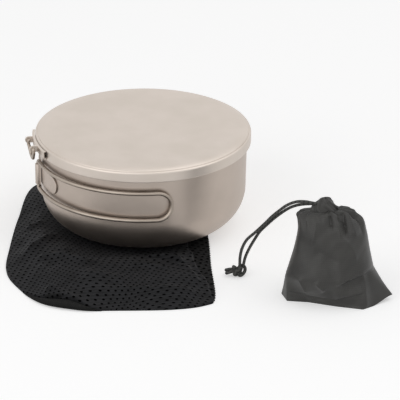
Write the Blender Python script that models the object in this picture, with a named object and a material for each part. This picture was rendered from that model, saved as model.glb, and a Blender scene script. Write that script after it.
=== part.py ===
"""Camping cook pot set: a titanium pot with a folding wire handle and a cap lid with a hanging wire
loop, standing on its empty mesh stuff sack, with a small drawstring pouch beside it.

Metres, +Z up. The origin is on the floor below the pot's axis, and the handle's bracket points along -X.
"""

import math

import bmesh
import bpy
from mathutils import Vector

# --- clearances ---------------------------------------------------------------------------------------
TOUCH_GAP = 0.0003  # between two pieces that touch
LID_CLEARANCE = 0.0008  # between the pot's rim bead and the lid's skirt, all round
BORE_CLEARANCE = 0.00025  # round a wire that turns in a hole
EMBED = 0.0004  # how far a lug is sunk into the sheet that it is part of
CUT_PAST = 0.0010  # how far a cutter passes the faces that it cuts
MERGE = 0.000001

# --- titanium sheet and wire --------------------------------------------------------------------------
SHEET = 0.0007
BRACKET_SHEET = 0.0010
BORE_WALL = 0.0007
HANDLE_WIRE = 0.0016  # radius
LOOP_WIRE = 0.0013  # radius

# --- pot ----------------------------------------------------------------------------------------------
BAG_UNDER_POT = 0.0030  # the empty sack, squeezed flat by the pot
POT_RADIUS = 0.0820  # outside, just under the rim
POT_TAPER = 0.0012  # how much narrower the wall is where the bottom corner starts
POT_CORNER = 0.0300
POT_HEIGHT = 0.0757  # base to rim
RIM_BEAD = 0.0011  # radius of the rolled rim

POT_BASE = BAG_UNDER_POT + TOUCH_GAP
RIM_TOP = POT_BASE + POT_HEIGHT
CORNER_TOP = POT_BASE + POT_CORNER
BEAD_R = POT_RADIUS - SHEET + RIM_BEAD
BEAD_Z = RIM_TOP - RIM_BEAD


def wall_radius(height):
    """The outside of the pot's wall, above the bottom corner."""
    share = (RIM_TOP - height) / (RIM_TOP - CORNER_TOP)
    return POT_RADIUS - POT_TAPER * min(max(share, 0.0), 1.0)


# --- lid, seated with the inside of its shoulder on the rim bead --------------------------------------
LID_SHOULDER = 0.0050
LID_SKIRT = 0.0104

LID_RADIUS = BEAD_R + RIM_BEAD + LID_CLEARANCE + SHEET
SHOULDER_R = LID_RADIUS - LID_SHOULDER
SEAT_REACH = max(LID_SHOULDER - SHEET - RIM_BEAD - TOUCH_GAP, 0.0)
SEAT_RISE = math.sqrt(SEAT_REACH**2 - min(max(BEAD_R - SHOULDER_R, 0.0), SEAT_REACH) ** 2)
LID_TOP = BEAD_Z - SEAT_RISE + LID_SHOULDER

# --- folding handle: one bent wire, whose two turned-in ends pivot in the bracket ---------------------
HANDLE_DROP = 0.0176  # rim to the centre of the upper leg
HANDLE_SPREAD = 0.0227  # between the centres of the two legs
HANDLE_GAP = 0.0012  # between the folded wire and the wall
HANDLE_REACH = math.radians(94.0)  # from the middle of the bracket to the end of the grip
HANDLE_BEND = 0.0026
HANDLE_STUB = 0.0050  # how far a turned-in end sits in its bore

UPPER_LEG_Z = RIM_TOP - HANDLE_DROP
LOWER_LEG_Z = UPPER_LEG_Z - HANDLE_SPREAD
HANDLE_R = wall_radius(UPPER_LEG_Z) + HANDLE_GAP + HANDLE_WIRE

# --- handle bracket: a plate with round ends and a raised channel that holds the pivot ----------------
PLATE_HALF_WIDTH = 0.0318
PLATE_MARGIN = 0.0022  # between the plate and the handle's legs, above and below
PLATE_END_STEPS = (0, 20, 40, 60, 80)  # degrees round each end of the plate
CHANNEL_CHAMFER = 0.0012

PLATE_HEIGHT = HANDLE_SPREAD - 2 * (HANDLE_WIRE + PLATE_MARGIN)
PLATE_MIDDLE_Z = (UPPER_LEG_Z + LOWER_LEG_Z) / 2
BORE_R = HANDLE_WIRE + BORE_CLEARANCE
CHANNEL_HALF_WIDTH = BORE_R + BORE_WALL
CHANNEL_SLOT = 0.0012  # half the width of the slot that the bore leaves open towards the pot
CHANNEL_R = HANDLE_R + BORE_R + BORE_WALL
CHANNEL_TOP = UPPER_LEG_Z - HANDLE_BEND - TOUCH_GAP
CHANNEL_BOTTOM = LOWER_LEG_Z + HANDLE_BEND + TOUCH_GAP

# --- lid bracket: a raised strip with open ends and two lugs that hold the loop -----------------------
STRIP_SHEET = 0.0006
STRIP_REACH = math.radians(15.5)  # from its middle to each end
STRIP_DROP = 0.0034  # lid top to the top of the strip
STRIP_HEIGHT = 0.0056
STRIP_FOOT = 0.0012
STRIP_RISE = 0.0021
LUG_SPACING = 0.0190  # between the middles of the lugs
LUG_SHEET = 0.0012
LUG_WALL = 0.0011

LOOP_DROP = 0.0058  # lid top to the loop's pivot
LOOP_STAND_OFF = 0.0052  # lid skirt to the loop's pivot
LOOP_STUB = 0.0010  # how far each end of the loop passes its lug
LOOP_CORNER = 0.0005  # how soon an arm turns down beside its lug
LOOP_NECK = 0.0060  # half the width of the loop's narrow end
LOOP_HANG_GAP = 0.0005  # between the hanging loop and the handle's upper leg
LOOP_LEAN = 0.0010  # how far the narrow end hangs in towards the pot

STRIP_R = LID_RADIUS + TOUCH_GAP
LOOP_R = LID_RADIUS + LOOP_STAND_OFF
LOOP_Z = LID_TOP - LOOP_DROP
LUG_BORE_R = LOOP_WIRE + BORE_CLEARANCE
LUG_R = LUG_BORE_R + LUG_WALL
LOOP_ARM = LUG_SPACING / 2 + LUG_SHEET / 2 + TOUCH_GAP + LOOP_WIRE
STRIP_STEPS = 10
LOOP_LOW_Z = UPPER_LEG_Z + HANDLE_WIRE + LOOP_HANG_GAP + LOOP_WIRE

# --- mesh stuff sack, lying flat under the pot --------------------------------------------------------
BAG_OUTLINE = [
    (-0.0726, 0.0847),
    (-0.0970, 0.0260),
    (-0.1150, -0.0310),
    (-0.1235, -0.0650),
    (-0.1222, -0.0930),
    (-0.1090, -0.1310),
    (-0.0850, -0.1490),
    (-0.0590, -0.1550),
    (-0.0150, -0.1635),
    (0.0120, -0.1625),
    (0.0235, -0.1510),
    (0.0336, -0.0950),
    (0.0432, -0.0430),
    (0.0475, 0.0130),
    (0.0200, 0.0640),
    (-0.0300, 0.0930),
]
BAG_MIDDLE = Vector((-0.035, -0.045, 0))
BAG_EDGE = 0.0024  # thickness at the edge
BAG_LOFT = 0.0085  # how much the loose cloth stands up beside the pot
BAG_LOFT_START = 0.060  # from the pot's axis
BAG_LOFT_END = 0.104
BAG_EDGE_FALL = 0.35  # share of the way in from the edge at which the cloth has its full height
BAG_RINGS = (0.04, 0.12, 0.2, 0.28, 0.36, 0.44, 0.52, 0.6, 0.68, 0.76, 0.84, 0.9, 0.95, 0.98, 1.0)
BAG_STEPS = 80
HEM_MIDDLE = 28  # the step of the outline at the middle of the mouth's hem, where it shows
HEM_STEPS = 6  # from the hem's middle to where it has run out on each side
HEM_WIDTH = 0.0110
HEM_HEIGHT = 0.0070

# --- drawstring pouch: (height, middle x, half width, middle y, half depth, squareness) ---------------
POUCH_PLACE = (0.1109, -0.1642, 0)
POUCH_TURN = math.radians(-13.0)
POUCH_BASE = [
    (0.0465, -0.0090),
    (0.0330, 0.0090),
    (0.0080, 0.0170),
    (-0.0180, 0.0160),
    (-0.0384, 0.0028),
    (-0.0341, -0.0113),
    (-0.0182, -0.0135),
    (0.0028, -0.0210),
    (0.0231, -0.0265),
]
BASE_FADE = 0.0240  # the height at which the corners of the base have run out
POUCH_BODY = [
    (0.0000, -0.0010, 0.0345, -0.0010, 0.0225, 1.9),
    (0.0050, -0.0010, 0.0345, -0.0010, 0.0236, 1.9),
    (0.0110, -0.0010, 0.0345, -0.0015, 0.0245, 2.0),
    (0.0180, -0.0010, 0.0340, -0.0018, 0.0246, 2.0),
    (0.0240, -0.0008, 0.0326, -0.0014, 0.0242, 2.1),
    (0.0384, -0.0002, 0.0290, 0.0000, 0.0220, 2.2),
    (0.0526, -0.0001, 0.0264, 0.0000, 0.0180, 2.3),
    (0.0640, -0.0017, 0.0240, 0.0000, 0.0135, 2.3),
    (0.0690, -0.0050, 0.0205, 0.0000, 0.0100, 2.2),
    (0.0724, -0.0028, 0.0112, 0.0000, 0.0072, 2.0),
]
POUCH_TOP = POUCH_BODY[-1][0]
HEM_BAND = [
    (POUCH_TOP + TOUCH_GAP, -0.0035, 0.0095, 0.0000, 0.0062, 2.0),
    (POUCH_TOP + 0.0022, -0.0040, 0.0078, 0.0000, 0.0056, 2.0),
    (POUCH_TOP + 0.0043, -0.0042, 0.0075, 0.0000, 0.0055, 2.0),
    (POUCH_TOP + 0.0066, -0.0036, 0.0060, 0.0000, 0.0050, 2.0),
    (POUCH_TOP + 0.0082, -0.0030, 0.0042, 0.0000, 0.0040, 2.0),
]
POUCH_STEPS = 48
RUFFLES = 9
RUFFLE_DEPTH = 0.08  # share of the hem's size, at its open edge

# --- drawcord: two strands from the pouch's hem to one knot -------------------------------------------
CORD_RADIUS = 0.00115
CORD_SPACING = 0.0060  # between two points of a strand
STRAND_ROUTES = {
    "drawcord_strand_a": [
        (0.0991, -0.1630, 0.0767),
        (0.0952, -0.1621, 0.0775),
        (0.0901, -0.1597, 0.0780),
        (0.0843, -0.1562, 0.0768),
        (0.0786, -0.1523, 0.0731),
        (0.0736, -0.1486, 0.0676),
        (0.0687, -0.1446, 0.0612),
        (0.0639, -0.1403, 0.0536),
        (0.0582, -0.1347, 0.0447),
        (0.0530, -0.1288, 0.0363),
        (0.0505, -0.1238, 0.0272),
        (0.0499, -0.1197, 0.0180),
        (0.0501, -0.1177, 0.0094),
    ],
    "drawcord_strand_b": [
        (0.0997, -0.1601, 0.0755),
        (0.0958, -0.1590, 0.0753),
        (0.0905, -0.1564, 0.0744),
        (0.0854, -0.1532, 0.0725),
        (0.0802, -0.1497, 0.0690),
        (0.0749, -0.1461, 0.0637),
        (0.0698, -0.1419, 0.0573),
        (0.0657, -0.1374, 0.0507),
        (0.0619, -0.1327, 0.0437),
        (0.0589, -0.1284, 0.0354),
        (0.0561, -0.1236, 0.0262),
        (0.0541, -0.1192, 0.0170),
        (0.0531, -0.1170, 0.0091),
    ],
}
KNOT_PLACE = Vector((0.0497, -0.1164, 0.0047))
KNOT_SIZE = Vector((0.0064, 0.0048, 0.0045))  # half its length, depth and height
KNOT_TAILS = [
    (0.0399, -0.1150, 0.0030),
    (0.0404, -0.1116, 0.0040),
]

# --- fineness -----------------------------------------------------------------------------------------
TURN_STEPS = 64
CORNER_STEPS = 7
WIRE_STEP = math.radians(4.5)
BORE_SIDES = 16
SMOOTH_BELOW = math.radians(40)


# --- materials and objects ----------------------------------------------------------------------------
def finish(name, colour, roughness, metallic):
    """A plain Principled material."""
    material = bpy.data.materials.new(name)
    material.use_nodes = True
    shader = material.node_tree.nodes["Principled BSDF"]
    shader.inputs["Base Color"].default_value = (*colour, 1)
    shader.inputs["Roughness"].default_value = roughness
    shader.inputs["Metallic"].default_value = metallic
    material.diffuse_color = (*colour, 1)
    return material


def add_object(name, data, material):
    thing = bpy.data.objects.new(name, data)
    data.materials.append(material)
    bpy.context.scene.collection.objects.link(thing)
    return thing


def add_mesh(name, mesh, material):
    """A mesh object from a bmesh whose faces are turned to point out."""
    bmesh.ops.recalc_face_normals(mesh, faces=mesh.faces)
    data = bpy.data.meshes.new(name)
    mesh.to_mesh(data)
    mesh.free()
    data.shade_smooth()
    data.set_sharp_from_angle(angle=SMOOTH_BELOW)
    return add_object(name, data, material)


def arc(middle_r, middle_z, radius, start, end, steps):
    """Points (r, z) round an arc, from one angle in degrees to another."""
    turns = [math.radians(start + (end - start) * i / steps) for i in range(steps + 1)]
    return [(middle_r + radius * math.cos(t), middle_z + radius * math.sin(t)) for t in turns]


def turned(name, outline, material):
    """A solid turned round Z from an outline of (r, z) that starts and ends on the axis."""
    mesh = bmesh.new()
    points = [mesh.verts.new((r, 0, z)) for r, z in outline]
    edges = [mesh.edges.new(pair) for pair in zip(points, points[1:])]
    spin = {"cent": (0, 0, 0), "axis": (0, 0, 1), "angle": math.tau, "steps": TURN_STEPS}
    bmesh.ops.spin(mesh, geom=points + edges, use_merge=True, **spin)
    bmesh.ops.remove_doubles(mesh, verts=mesh.verts, dist=MERGE)
    return add_mesh(name, mesh, material)


def skinned(rings):
    """A bmesh with quads between rings of points, and a flat face on the first and the last ring."""
    mesh = bmesh.new()
    rows = [[mesh.verts.new(point) for point in ring] for ring in rings]
    count = len(rows[0])
    for row, following in zip(rows, rows[1:]):
        for i in range(count):
            j = (i + 1) % count
            mesh.faces.new((row[i], row[j], following[j], following[i]))
    mesh.faces.new(rows[0])
    mesh.faces.new(rows[-1])
    return mesh


def wrapped_point(along, radius, height):
    """A point on the pot's bracket side: along is an angle from -X, turning towards -Y."""
    angle = math.pi + along
    return Vector((radius * math.cos(angle), radius * math.sin(angle), height))


def tube(name, points, radius, material, origin=(0, 0, 0)):
    """A round wire or cord along points, with its object's origin where it is asked for."""
    curve = bpy.data.curves.new(name, "CURVE")
    curve.dimensions = "3D"
    curve.bevel_depth = radius
    curve.bevel_resolution = 2
    curve.use_fill_caps = True
    spline = curve.splines.new("POLY")
    spline.points.add(len(points) - 1)
    for slot, point in zip(spline.points, points):
        slot.co = (*(Vector(point) - Vector(origin)), 1)
    thing = add_object(name, curve, material)
    thing.location = origin
    return thing


def smooth_route(route, spacing):
    """Points about spacing apart on a smooth curve through all the route's points."""
    points = [Vector(p) for p in route]
    ends = [2 * points[0] - points[1], *points, 2 * points[-1] - points[-2]]
    line = []
    for a, b, c, d in zip(ends, ends[1:], ends[2:], ends[3:]):
        steps = max(1, round((c - b).length / spacing))
        for i in range(steps):
            t = i / steps
            pull = (c - a) * t + (2 * a - 5 * b + 4 * c - d) * t**2 + (3 * b - a - 3 * c + d) * t**3
            line.append(b + pull / 2)
    return [*line, points[-1]]


def cut(thing, cutters):
    """Take the cutters out of a solid."""
    for cutter in cutters:
        cutter.hide_render = True
        cutter.display_type = "WIRE"
        combine(thing, cutter, "DIFFERENCE")


def combine(thing, other, operation):
    modifier = thing.modifiers.new(other.name, "BOOLEAN")
    modifier.operation = operation
    modifier.solver = "EXACT"
    modifier.object = other


def join(thing, lumps):
    """Make a solid and its lumps one body."""
    for lump in lumps:
        lump.hide_render = True
        lump.display_type = "WIRE"
        combine(thing, lump, "UNION")


def rod(name, start, end, radius, material):
    """A plain round bar between two points, for a bore or a lump."""
    start, end = Vector(start), Vector(end)
    mesh = bmesh.new()
    size = {"radius1": radius, "radius2": radius, "depth": (end - start).length}
    bmesh.ops.create_cone(mesh, cap_ends=True, segments=BORE_SIDES, **size)
    thing = add_mesh(name, mesh, material)
    thing.location = (start + end) / 2
    thing.rotation_euler = (end - start).to_track_quat("Z", "Y").to_euler()
    return thing


def block(name, low, high, material):
    """A plain box between two corners, for a cutter."""
    low, high = Vector(low), Vector(high)
    mesh = bmesh.new()
    bmesh.ops.create_cube(mesh, size=1.0)
    bmesh.ops.scale(mesh, vec=high - low, verts=mesh.verts)
    thing = add_mesh(name, mesh, material)
    thing.location = (low + high) / 2
    return thing


# --- pot ----------------------------------------------------------------------------------------------
def make_pot(titanium):
    flat = POT_RADIUS - POT_TAPER - POT_CORNER
    join_angle = math.degrees(math.acos(min(max((SHEET - RIM_BEAD) / RIM_BEAD, -1), 1)))
    outside = arc(flat, CORNER_TOP, POT_CORNER, -90, 0, CORNER_STEPS)
    bead = arc(BEAD_R, BEAD_Z, RIM_BEAD, -join_angle, 180, 10)
    inside = arc(flat, CORNER_TOP, POT_CORNER - SHEET, 0, -90, CORNER_STEPS)
    outline = [(0, POT_BASE), *outside, *bead, *inside, (0, POT_BASE + SHEET)]
    return turned("pot_body", outline, titanium)


# --- handle bracket and handle ------------------------------------------------------------------------
def plate_sections():
    """(distance from the middle, half height) across one half of the plate."""
    end_r = PLATE_HEIGHT / 2
    straight = max(PLATE_HALF_WIDTH - end_r, 0.0)
    turns = [math.radians(a) for a in PLATE_END_STEPS]
    ends = [(straight + end_r * math.sin(t), end_r * math.cos(t)) for t in turns]
    return [(straight * i / 4, end_r) for i in range(4)] + ends


def wrapped_section(distance, low, high, inner, outer):
    """The four corners of a curved block's section, at a distance from its middle."""
    along = distance / POT_RADIUS
    corners = [(inner(low), low), (outer(low), low), (outer(high), high), (inner(high), high)]
    return [wrapped_point(along, r, z) for r, z in corners]


def plate_back(height):
    return wall_radius(height) + TOUCH_GAP


def plate_front(height):
    return plate_back(height) + BRACKET_SHEET


def channel_back(height):
    return plate_front(height) - EMBED


def make_pot_bracket(titanium):
    half = plate_sections()
    rings = []
    for distance, up in [(-d, h) for d, h in reversed(half[1:])] + half:
        low, high = PLATE_MIDDLE_Z - up, PLATE_MIDDLE_Z + up
        rings.append(wrapped_section(distance, low, high, plate_back, plate_front))
    bracket = add_mesh("pot_bracket", skinned(rings), titanium)
    join(bracket, [make_channel(titanium)])
    low, high = CHANNEL_BOTTOM - CUT_PAST, CHANNEL_TOP + CUT_PAST
    axis = [wrapped_point(0, HANDLE_R, z) for z in (low, high)]
    bore = rod("pivot_bore", *axis, BORE_R, titanium)
    corners = [(-HANDLE_R, -CHANNEL_SLOT, low), (-POT_RADIUS + CUT_PAST, CHANNEL_SLOT, high)]
    slot = block("pivot_slot", *corners, titanium)
    cut(bracket, [bore, slot])


def make_channel(material):
    """The raised part of the bracket, which the handle's ends turn in."""
    shoulder = CHANNEL_HALF_WIDTH - CHANNEL_CHAMFER
    rings = []
    for distance, lower in (
        (-CHANNEL_HALF_WIDTH, CHANNEL_CHAMFER),
        (-shoulder, 0),
        (shoulder, 0),
        (CHANNEL_HALF_WIDTH, CHANNEL_CHAMFER),
    ):

        def channel_front(_height, radius=CHANNEL_R - lower):
            return radius

        rings.append(wrapped_section(distance, CHANNEL_BOTTOM, CHANNEL_TOP, channel_back, channel_front))
    return add_mesh("channel", skinned(rings), material)


def handle_line():
    """(angle from the bracket's middle, height) down the middle of the handle's wire, end to end."""
    bend = [math.radians(a) for a in (0, 30, 60, 90)]
    turn_r = HANDLE_SPREAD / 2
    turn_at = HANDLE_REACH - (turn_r + HANDLE_WIRE) / HANDLE_R
    steps = max(2, round(turn_at / WIRE_STEP))
    first = HANDLE_BEND / HANDLE_R
    leg = [first + (turn_at - first) * i / steps for i in range(1, steps)]
    turn = [math.radians(90 - 180 * i / 12) for i in range(13)]
    upper = [(0, UPPER_LEG_Z - HANDLE_BEND - HANDLE_STUB)]
    lower = [(0, LOWER_LEG_Z + HANDLE_BEND + HANDLE_STUB)]
    for t in bend:
        along = HANDLE_BEND * (1 - math.cos(t)) / HANDLE_R
        upper.append((along, UPPER_LEG_Z - HANDLE_BEND * (1 - math.sin(t))))
        lower.append((along, LOWER_LEG_Z + HANDLE_BEND * (1 - math.sin(t))))
    upper += [(a, UPPER_LEG_Z) for a in leg]
    lower += [(a, LOWER_LEG_Z) for a in leg]
    end = [(turn_at + turn_r * math.cos(t) / HANDLE_R, PLATE_MIDDLE_Z + turn_r * math.sin(t)) for t in turn]
    return upper + end + lower[::-1]


def make_handle(titanium):
    points = [wrapped_point(along, HANDLE_R, z) for along, z in handle_line()]
    tube("pot_handle", points, HANDLE_WIRE, titanium, wrapped_point(0, HANDLE_R, PLATE_MIDDLE_Z))


# --- lid, its bracket and its loop --------------------------------------------------------------------
def make_lid(titanium):
    corner_z = LID_TOP - LID_SHOULDER
    skirt_z = LID_TOP - LID_SKIRT
    outside = arc(SHOULDER_R, corner_z, LID_SHOULDER, 90, 0, CORNER_STEPS)
    inside = arc(SHOULDER_R, corner_z, LID_SHOULDER - SHEET, 0, 90, CORNER_STEPS)
    skirt = [(LID_RADIUS, skirt_z), (LID_RADIUS - SHEET, skirt_z)]
    outline = [(0, LID_TOP), *outside, *skirt, *inside, (0, LID_TOP - SHEET)]
    return turned("lid", outline, titanium)


def make_lid_bracket(titanium):
    """A strip with its middle raised off the skirt and open at both ends, and two lugs on its face."""
    top = LID_TOP - STRIP_DROP
    bottom = top - STRIP_HEIGHT
    face = STRIP_R + STRIP_RISE
    section = [
        (STRIP_R, top),
        (face, top),
        (face, bottom),
        (STRIP_R + STRIP_SHEET, bottom),
        (STRIP_R + STRIP_SHEET, bottom - STRIP_FOOT),
        (STRIP_R, bottom - STRIP_FOOT),
        (STRIP_R, bottom + STRIP_SHEET),
        (face - STRIP_SHEET, bottom + STRIP_SHEET),
        (face - STRIP_SHEET, top - STRIP_SHEET),
        (STRIP_R, top - STRIP_SHEET),
    ]
    turns = [STRIP_REACH * (2 * i / STRIP_STEPS - 1) for i in range(STRIP_STEPS + 1)]
    rings = [[wrapped_point(along, r, z) for r, z in section] for along in turns]
    bracket = add_mesh("lid_bracket", skinned(rings), titanium)
    join(bracket, [make_lug(name, side, face, titanium) for name, side in (("front_lug", 1), ("rear_lug", -1))])
    reach = LUG_SPACING / 2 + LUG_SHEET
    ends = [(-LOOP_R, -reach, LOOP_Z), (-LOOP_R, reach, LOOP_Z)]
    cut(bracket, [rod("lug_bore", *ends, LUG_BORE_R, titanium)])
    return bracket


def make_lug(name, side, face, material):
    """One lug: a flat plate that stands out from the strip and is round about the loop's pivot."""
    root = math.sqrt(face**2 - (LUG_SPACING / 2 + LUG_SHEET) ** 2) - EMBED
    round_end = arc(LOOP_R, LOOP_Z, LUG_R, 90, -90, 8)
    outline = [(root, LOOP_Z + LUG_R), *round_end, (root, LOOP_Z - LUG_R)]
    middle = -side * LUG_SPACING / 2
    rings = [[(-r, middle + d, z) for r, z in outline] for d in (-LUG_SHEET / 2, LUG_SHEET / 2)]
    return add_mesh(name, skinned(rings), material)


def make_lid_loop(titanium):
    """The lid's wire loop, hanging at rest. It is wide at its pivots and narrow below."""
    end = LUG_SPACING / 2 - LUG_SHEET / 2 - LOOP_STUB
    drop = LOOP_Z - LOOP_LOW_Z
    lean = LOOP_LEAN
    arm = [
        (end, 0, 0),
        (LOOP_ARM - LOOP_CORNER, 0, 0),
        (LOOP_ARM, 0, LOOP_CORNER),
        (LOOP_ARM, lean * 0.2, drop * 0.28),
        ((LOOP_ARM + LOOP_NECK) / 2, lean * 0.5, drop * 0.52),
        (LOOP_NECK, lean * 0.8, drop * 0.78),
        (LOOP_NECK * 0.7, lean, drop * 0.94),
        (LOOP_NECK * 0.3, lean, drop),
    ]
    points = [(-LOOP_R + inward, -across, LOOP_Z - down) for across, inward, down in arm]
    points += [(-LOOP_R + inward, across, LOOP_Z - down) for across, inward, down in reversed(arm)]
    return tube("lid_loop", points, LOOP_WIRE, titanium, (-LOOP_R, 0, LOOP_Z))


# --- mesh stuff sack ----------------------------------------------------------------------------------
def bag_rim(step):
    """The point at a step of the way round the sack's outline, on a smooth curve through its points."""
    count = len(BAG_OUTLINE)
    place = step / BAG_STEPS * count
    i = int(place)
    t = place - i
    a, b, c, d = (Vector((*BAG_OUTLINE[(i + k) % count], 0)) for k in (-1, 0, 1, 2))
    return b + ((c - a) * t + (2 * a - 5 * b + 4 * c - d) * t**2 + (3 * b - a - 3 * c + d) * t**3) / 2


def hem_depth(step):
    """How far in from the sack's outline its hem lies, which is nothing away from the mouth."""
    away = abs(step - HEM_MIDDLE) / HEM_STEPS
    return HEM_WIDTH * math.cos(away * math.pi / 2) ** 2 if away < 1 else 0.0


def bag_point(step, depth, reach=1.0):
    """A point on the floor, in from the outline by a depth and then at a share of what is left."""
    rim = bag_rim(step) - BAG_MIDDLE
    return BAG_MIDDLE + rim * (1 - depth / rim.length) * reach


def smooth_step(value):
    value = min(max(value, 0.0), 1.0)
    return value * value * (3 - 2 * value)


def bag_height(point, reach):
    """The sack's thickness: flat under the pot, loose beside it and thin at its edge."""
    from_pot = (point.length - BAG_LOFT_START) / (BAG_LOFT_END - BAG_LOFT_START)
    full = BAG_UNDER_POT + BAG_LOFT * smooth_step(from_pot)
    return BAG_EDGE + (full - BAG_EDGE) * smooth_step((1 - reach) / BAG_EDGE_FALL)


def make_mesh_bag(mesh_cloth):
    depths = [hem_depth(s) + (TOUCH_GAP if hem_depth(s) > 0 else 0.0) for s in range(BAG_STEPS)]
    floor = [bag_point(s, d) for s, d in enumerate(depths)]
    rings = [floor]
    for reach in reversed(BAG_RINGS):
        points = [bag_point(s, d, reach) for s, d in enumerate(depths)]
        rings.append([Vector((p.x, p.y, bag_height(p, reach))) for p in points])
    return add_mesh("mesh_bag", skinned(rings), mesh_cloth)


def make_mesh_bag_hem(mesh_cloth):
    """The rolled hem of the sack's mouth, which shows as a crescent along its edge."""
    section = [(0, 0), (0, 0.4), (0.25, 0.9), (0.5, 1), (0.75, 0.9), (1, 0.4), (1, 0)]
    rings = []
    for step in range(HEM_MIDDLE - HEM_STEPS + 1, HEM_MIDDLE + HEM_STEPS):
        depth = hem_depth(step)
        height = BAG_EDGE + (HEM_HEIGHT - BAG_EDGE) * depth / HEM_WIDTH
        places = [(bag_point(step, depth * across), height * up) for across, up in section]
        rings.append([Vector((p.x, p.y, z)) for p, z in places])
    return add_mesh("mesh_bag_hem", skinned(rings), mesh_cloth)


# --- drawstring pouch ---------------------------------------------------------------------------------
def pouch_ring(height, middle_x, half_x, middle_y, half_y, squareness, ruffle=0.0):
    """A rounded section of the pouch, squarer the higher its squareness."""
    ring = []
    for i in range(POUCH_STEPS):
        turn = math.tau * i / POUCH_STEPS
        c, s = math.cos(turn), math.sin(turn)
        size = (abs(c) ** squareness + abs(s) ** squareness) ** (-1 / squareness)
        size *= 1 + ruffle * math.cos(RUFFLES * turn)
        ring.append((middle_x + half_x * size * c, middle_y + half_y * size * s, height))
    return ring


def base_reach(turn):
    """How far the outline of the base is from its middle, in one direction."""
    c, s = math.cos(turn), math.sin(turn)
    for (ax, ay), (bx, by) in zip(POUCH_BASE, POUCH_BASE[1:] + POUCH_BASE[:1]):
        slope = c * (by - ay) - s * (bx - ax)
        if abs(slope) < MERGE:
            continue
        reach = (ax * (by - ay) - ay * (bx - ax)) / slope
        share = (ax * s - ay * c) / slope
        if reach > 0 and 0 <= share <= 1:
            return reach
    return 0.0


def pouch_cloth(row):
    """A ring of the pouch's body, drawn out to the corners of the base close to the floor."""
    corners = max(1 - row[0] / BASE_FADE, 0.0)
    ring = []
    for i, (x, y, z) in enumerate(pouch_ring(*row)):
        turn = math.tau * i / POUCH_STEPS
        reach = base_reach(turn)
        base_x, base_y = reach * math.cos(turn), reach * math.sin(turn)
        ring.append((x + (base_x - x) * corners, y + (base_y - y) * corners, z))
    return ring


def place_on_pouch(thing):
    thing.location = POUCH_PLACE
    thing.rotation_euler = (0, 0, POUCH_TURN)


def make_pouch_body(nylon):
    body = add_mesh("pouch_body", skinned([pouch_cloth(row) for row in POUCH_BODY]), nylon)
    place_on_pouch(body)


def make_pouch_hem(nylon):
    """The gathered hem above the neck, which the drawcord runs in."""
    rings = [pouch_ring(*row) for row in HEM_BAND[:-1]]
    rings.append(pouch_ring(*HEM_BAND[-1], ruffle=RUFFLE_DEPTH))
    hem = add_mesh("pouch_hem", skinned(rings), nylon)
    place_on_pouch(hem)


def make_drawcord(cord):
    for name, route in STRAND_ROUTES.items():
        tube(name, smooth_route(route, CORD_SPACING), CORD_RADIUS, cord)
    mesh = bmesh.new()
    bmesh.ops.create_uvsphere(mesh, u_segments=16, v_segments=10, radius=1.0)
    bmesh.ops.scale(mesh, vec=KNOT_SIZE, verts=mesh.verts)
    bmesh.ops.translate(mesh, vec=KNOT_PLACE, verts=mesh.verts)
    knot = add_mesh("drawcord_knot", mesh, cord)
    tails = [rod(f"tail_{i}", KNOT_PLACE, end, CORD_RADIUS, cord) for i, end in enumerate(KNOT_TAILS)]
    join(knot, tails)


def main():
    for thing in list(bpy.data.objects):
        bpy.data.objects.remove(thing, do_unlink=True)
    titanium = finish("titanium", (0.56, 0.51, 0.46), 0.38, 1.0)
    mesh_cloth = finish("mesh_cloth", (0.03, 0.03, 0.03), 0.9, 0.0)
    nylon = finish("nylon", (0.06, 0.06, 0.055), 0.6, 0.0)
    cord = finish("cord", (0.05, 0.05, 0.05), 0.8, 0.0)
    make_pot(titanium)
    make_pot_bracket(titanium)
    make_handle(titanium)
    make_lid(titanium)
    make_lid_bracket(titanium)
    make_lid_loop(titanium)
    make_mesh_bag(mesh_cloth)
    make_mesh_bag_hem(mesh_cloth)
    make_pouch_body(nylon)
    make_pouch_hem(nylon)
    make_drawcord(cord)


main()
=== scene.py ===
"""Looks of the camping cook pot set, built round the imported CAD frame.

A titanium pot with a cap lid and a folding wire handle stands on its empty mesh stuff sack, and a small
drawstring pouch stands beside it. Metres, +Z up, in the CAD model's own frame.
"""

from __future__ import annotations

import logging
import math
from collections.abc import Sequence
from dataclasses import dataclass
from enum import Enum

import bmesh
import bpy
import numpy as np
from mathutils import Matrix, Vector


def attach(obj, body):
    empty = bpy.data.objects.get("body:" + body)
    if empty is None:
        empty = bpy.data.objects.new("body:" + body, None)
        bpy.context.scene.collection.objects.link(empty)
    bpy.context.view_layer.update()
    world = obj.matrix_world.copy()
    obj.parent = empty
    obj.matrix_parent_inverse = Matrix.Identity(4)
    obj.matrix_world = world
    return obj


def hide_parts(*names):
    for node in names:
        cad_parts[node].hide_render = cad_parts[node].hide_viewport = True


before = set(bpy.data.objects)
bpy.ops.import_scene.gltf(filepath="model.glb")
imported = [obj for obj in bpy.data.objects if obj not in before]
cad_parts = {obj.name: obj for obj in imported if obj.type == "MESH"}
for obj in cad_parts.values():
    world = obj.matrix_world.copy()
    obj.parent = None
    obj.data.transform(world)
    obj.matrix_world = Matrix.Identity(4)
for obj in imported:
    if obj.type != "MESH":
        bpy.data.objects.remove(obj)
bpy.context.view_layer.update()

LOG = logging.getLogger("cook_pot_set")
IMAGE_SIDE = 400
MM = 0.001
WELD = 1e-7
# the angles in degrees above which an edge stays sharp
METAL_EDGE = 35.0
CLOTH_EDGE = 60.0


class Body(Enum):
    """The CAD bodies that pieces ride on."""

    SACK = "sack"
    POT = "pot"
    HANDLE = "handle"
    LID = "lid"
    LOOP = "lid_loop"
    POUCH = "pouch"


class Slot(Enum):
    """The record's material slots."""

    TITANIUM = "titanium"
    MESH = "mesh_cloth"
    NYLON = "nylon"
    CORD = "cord"


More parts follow.
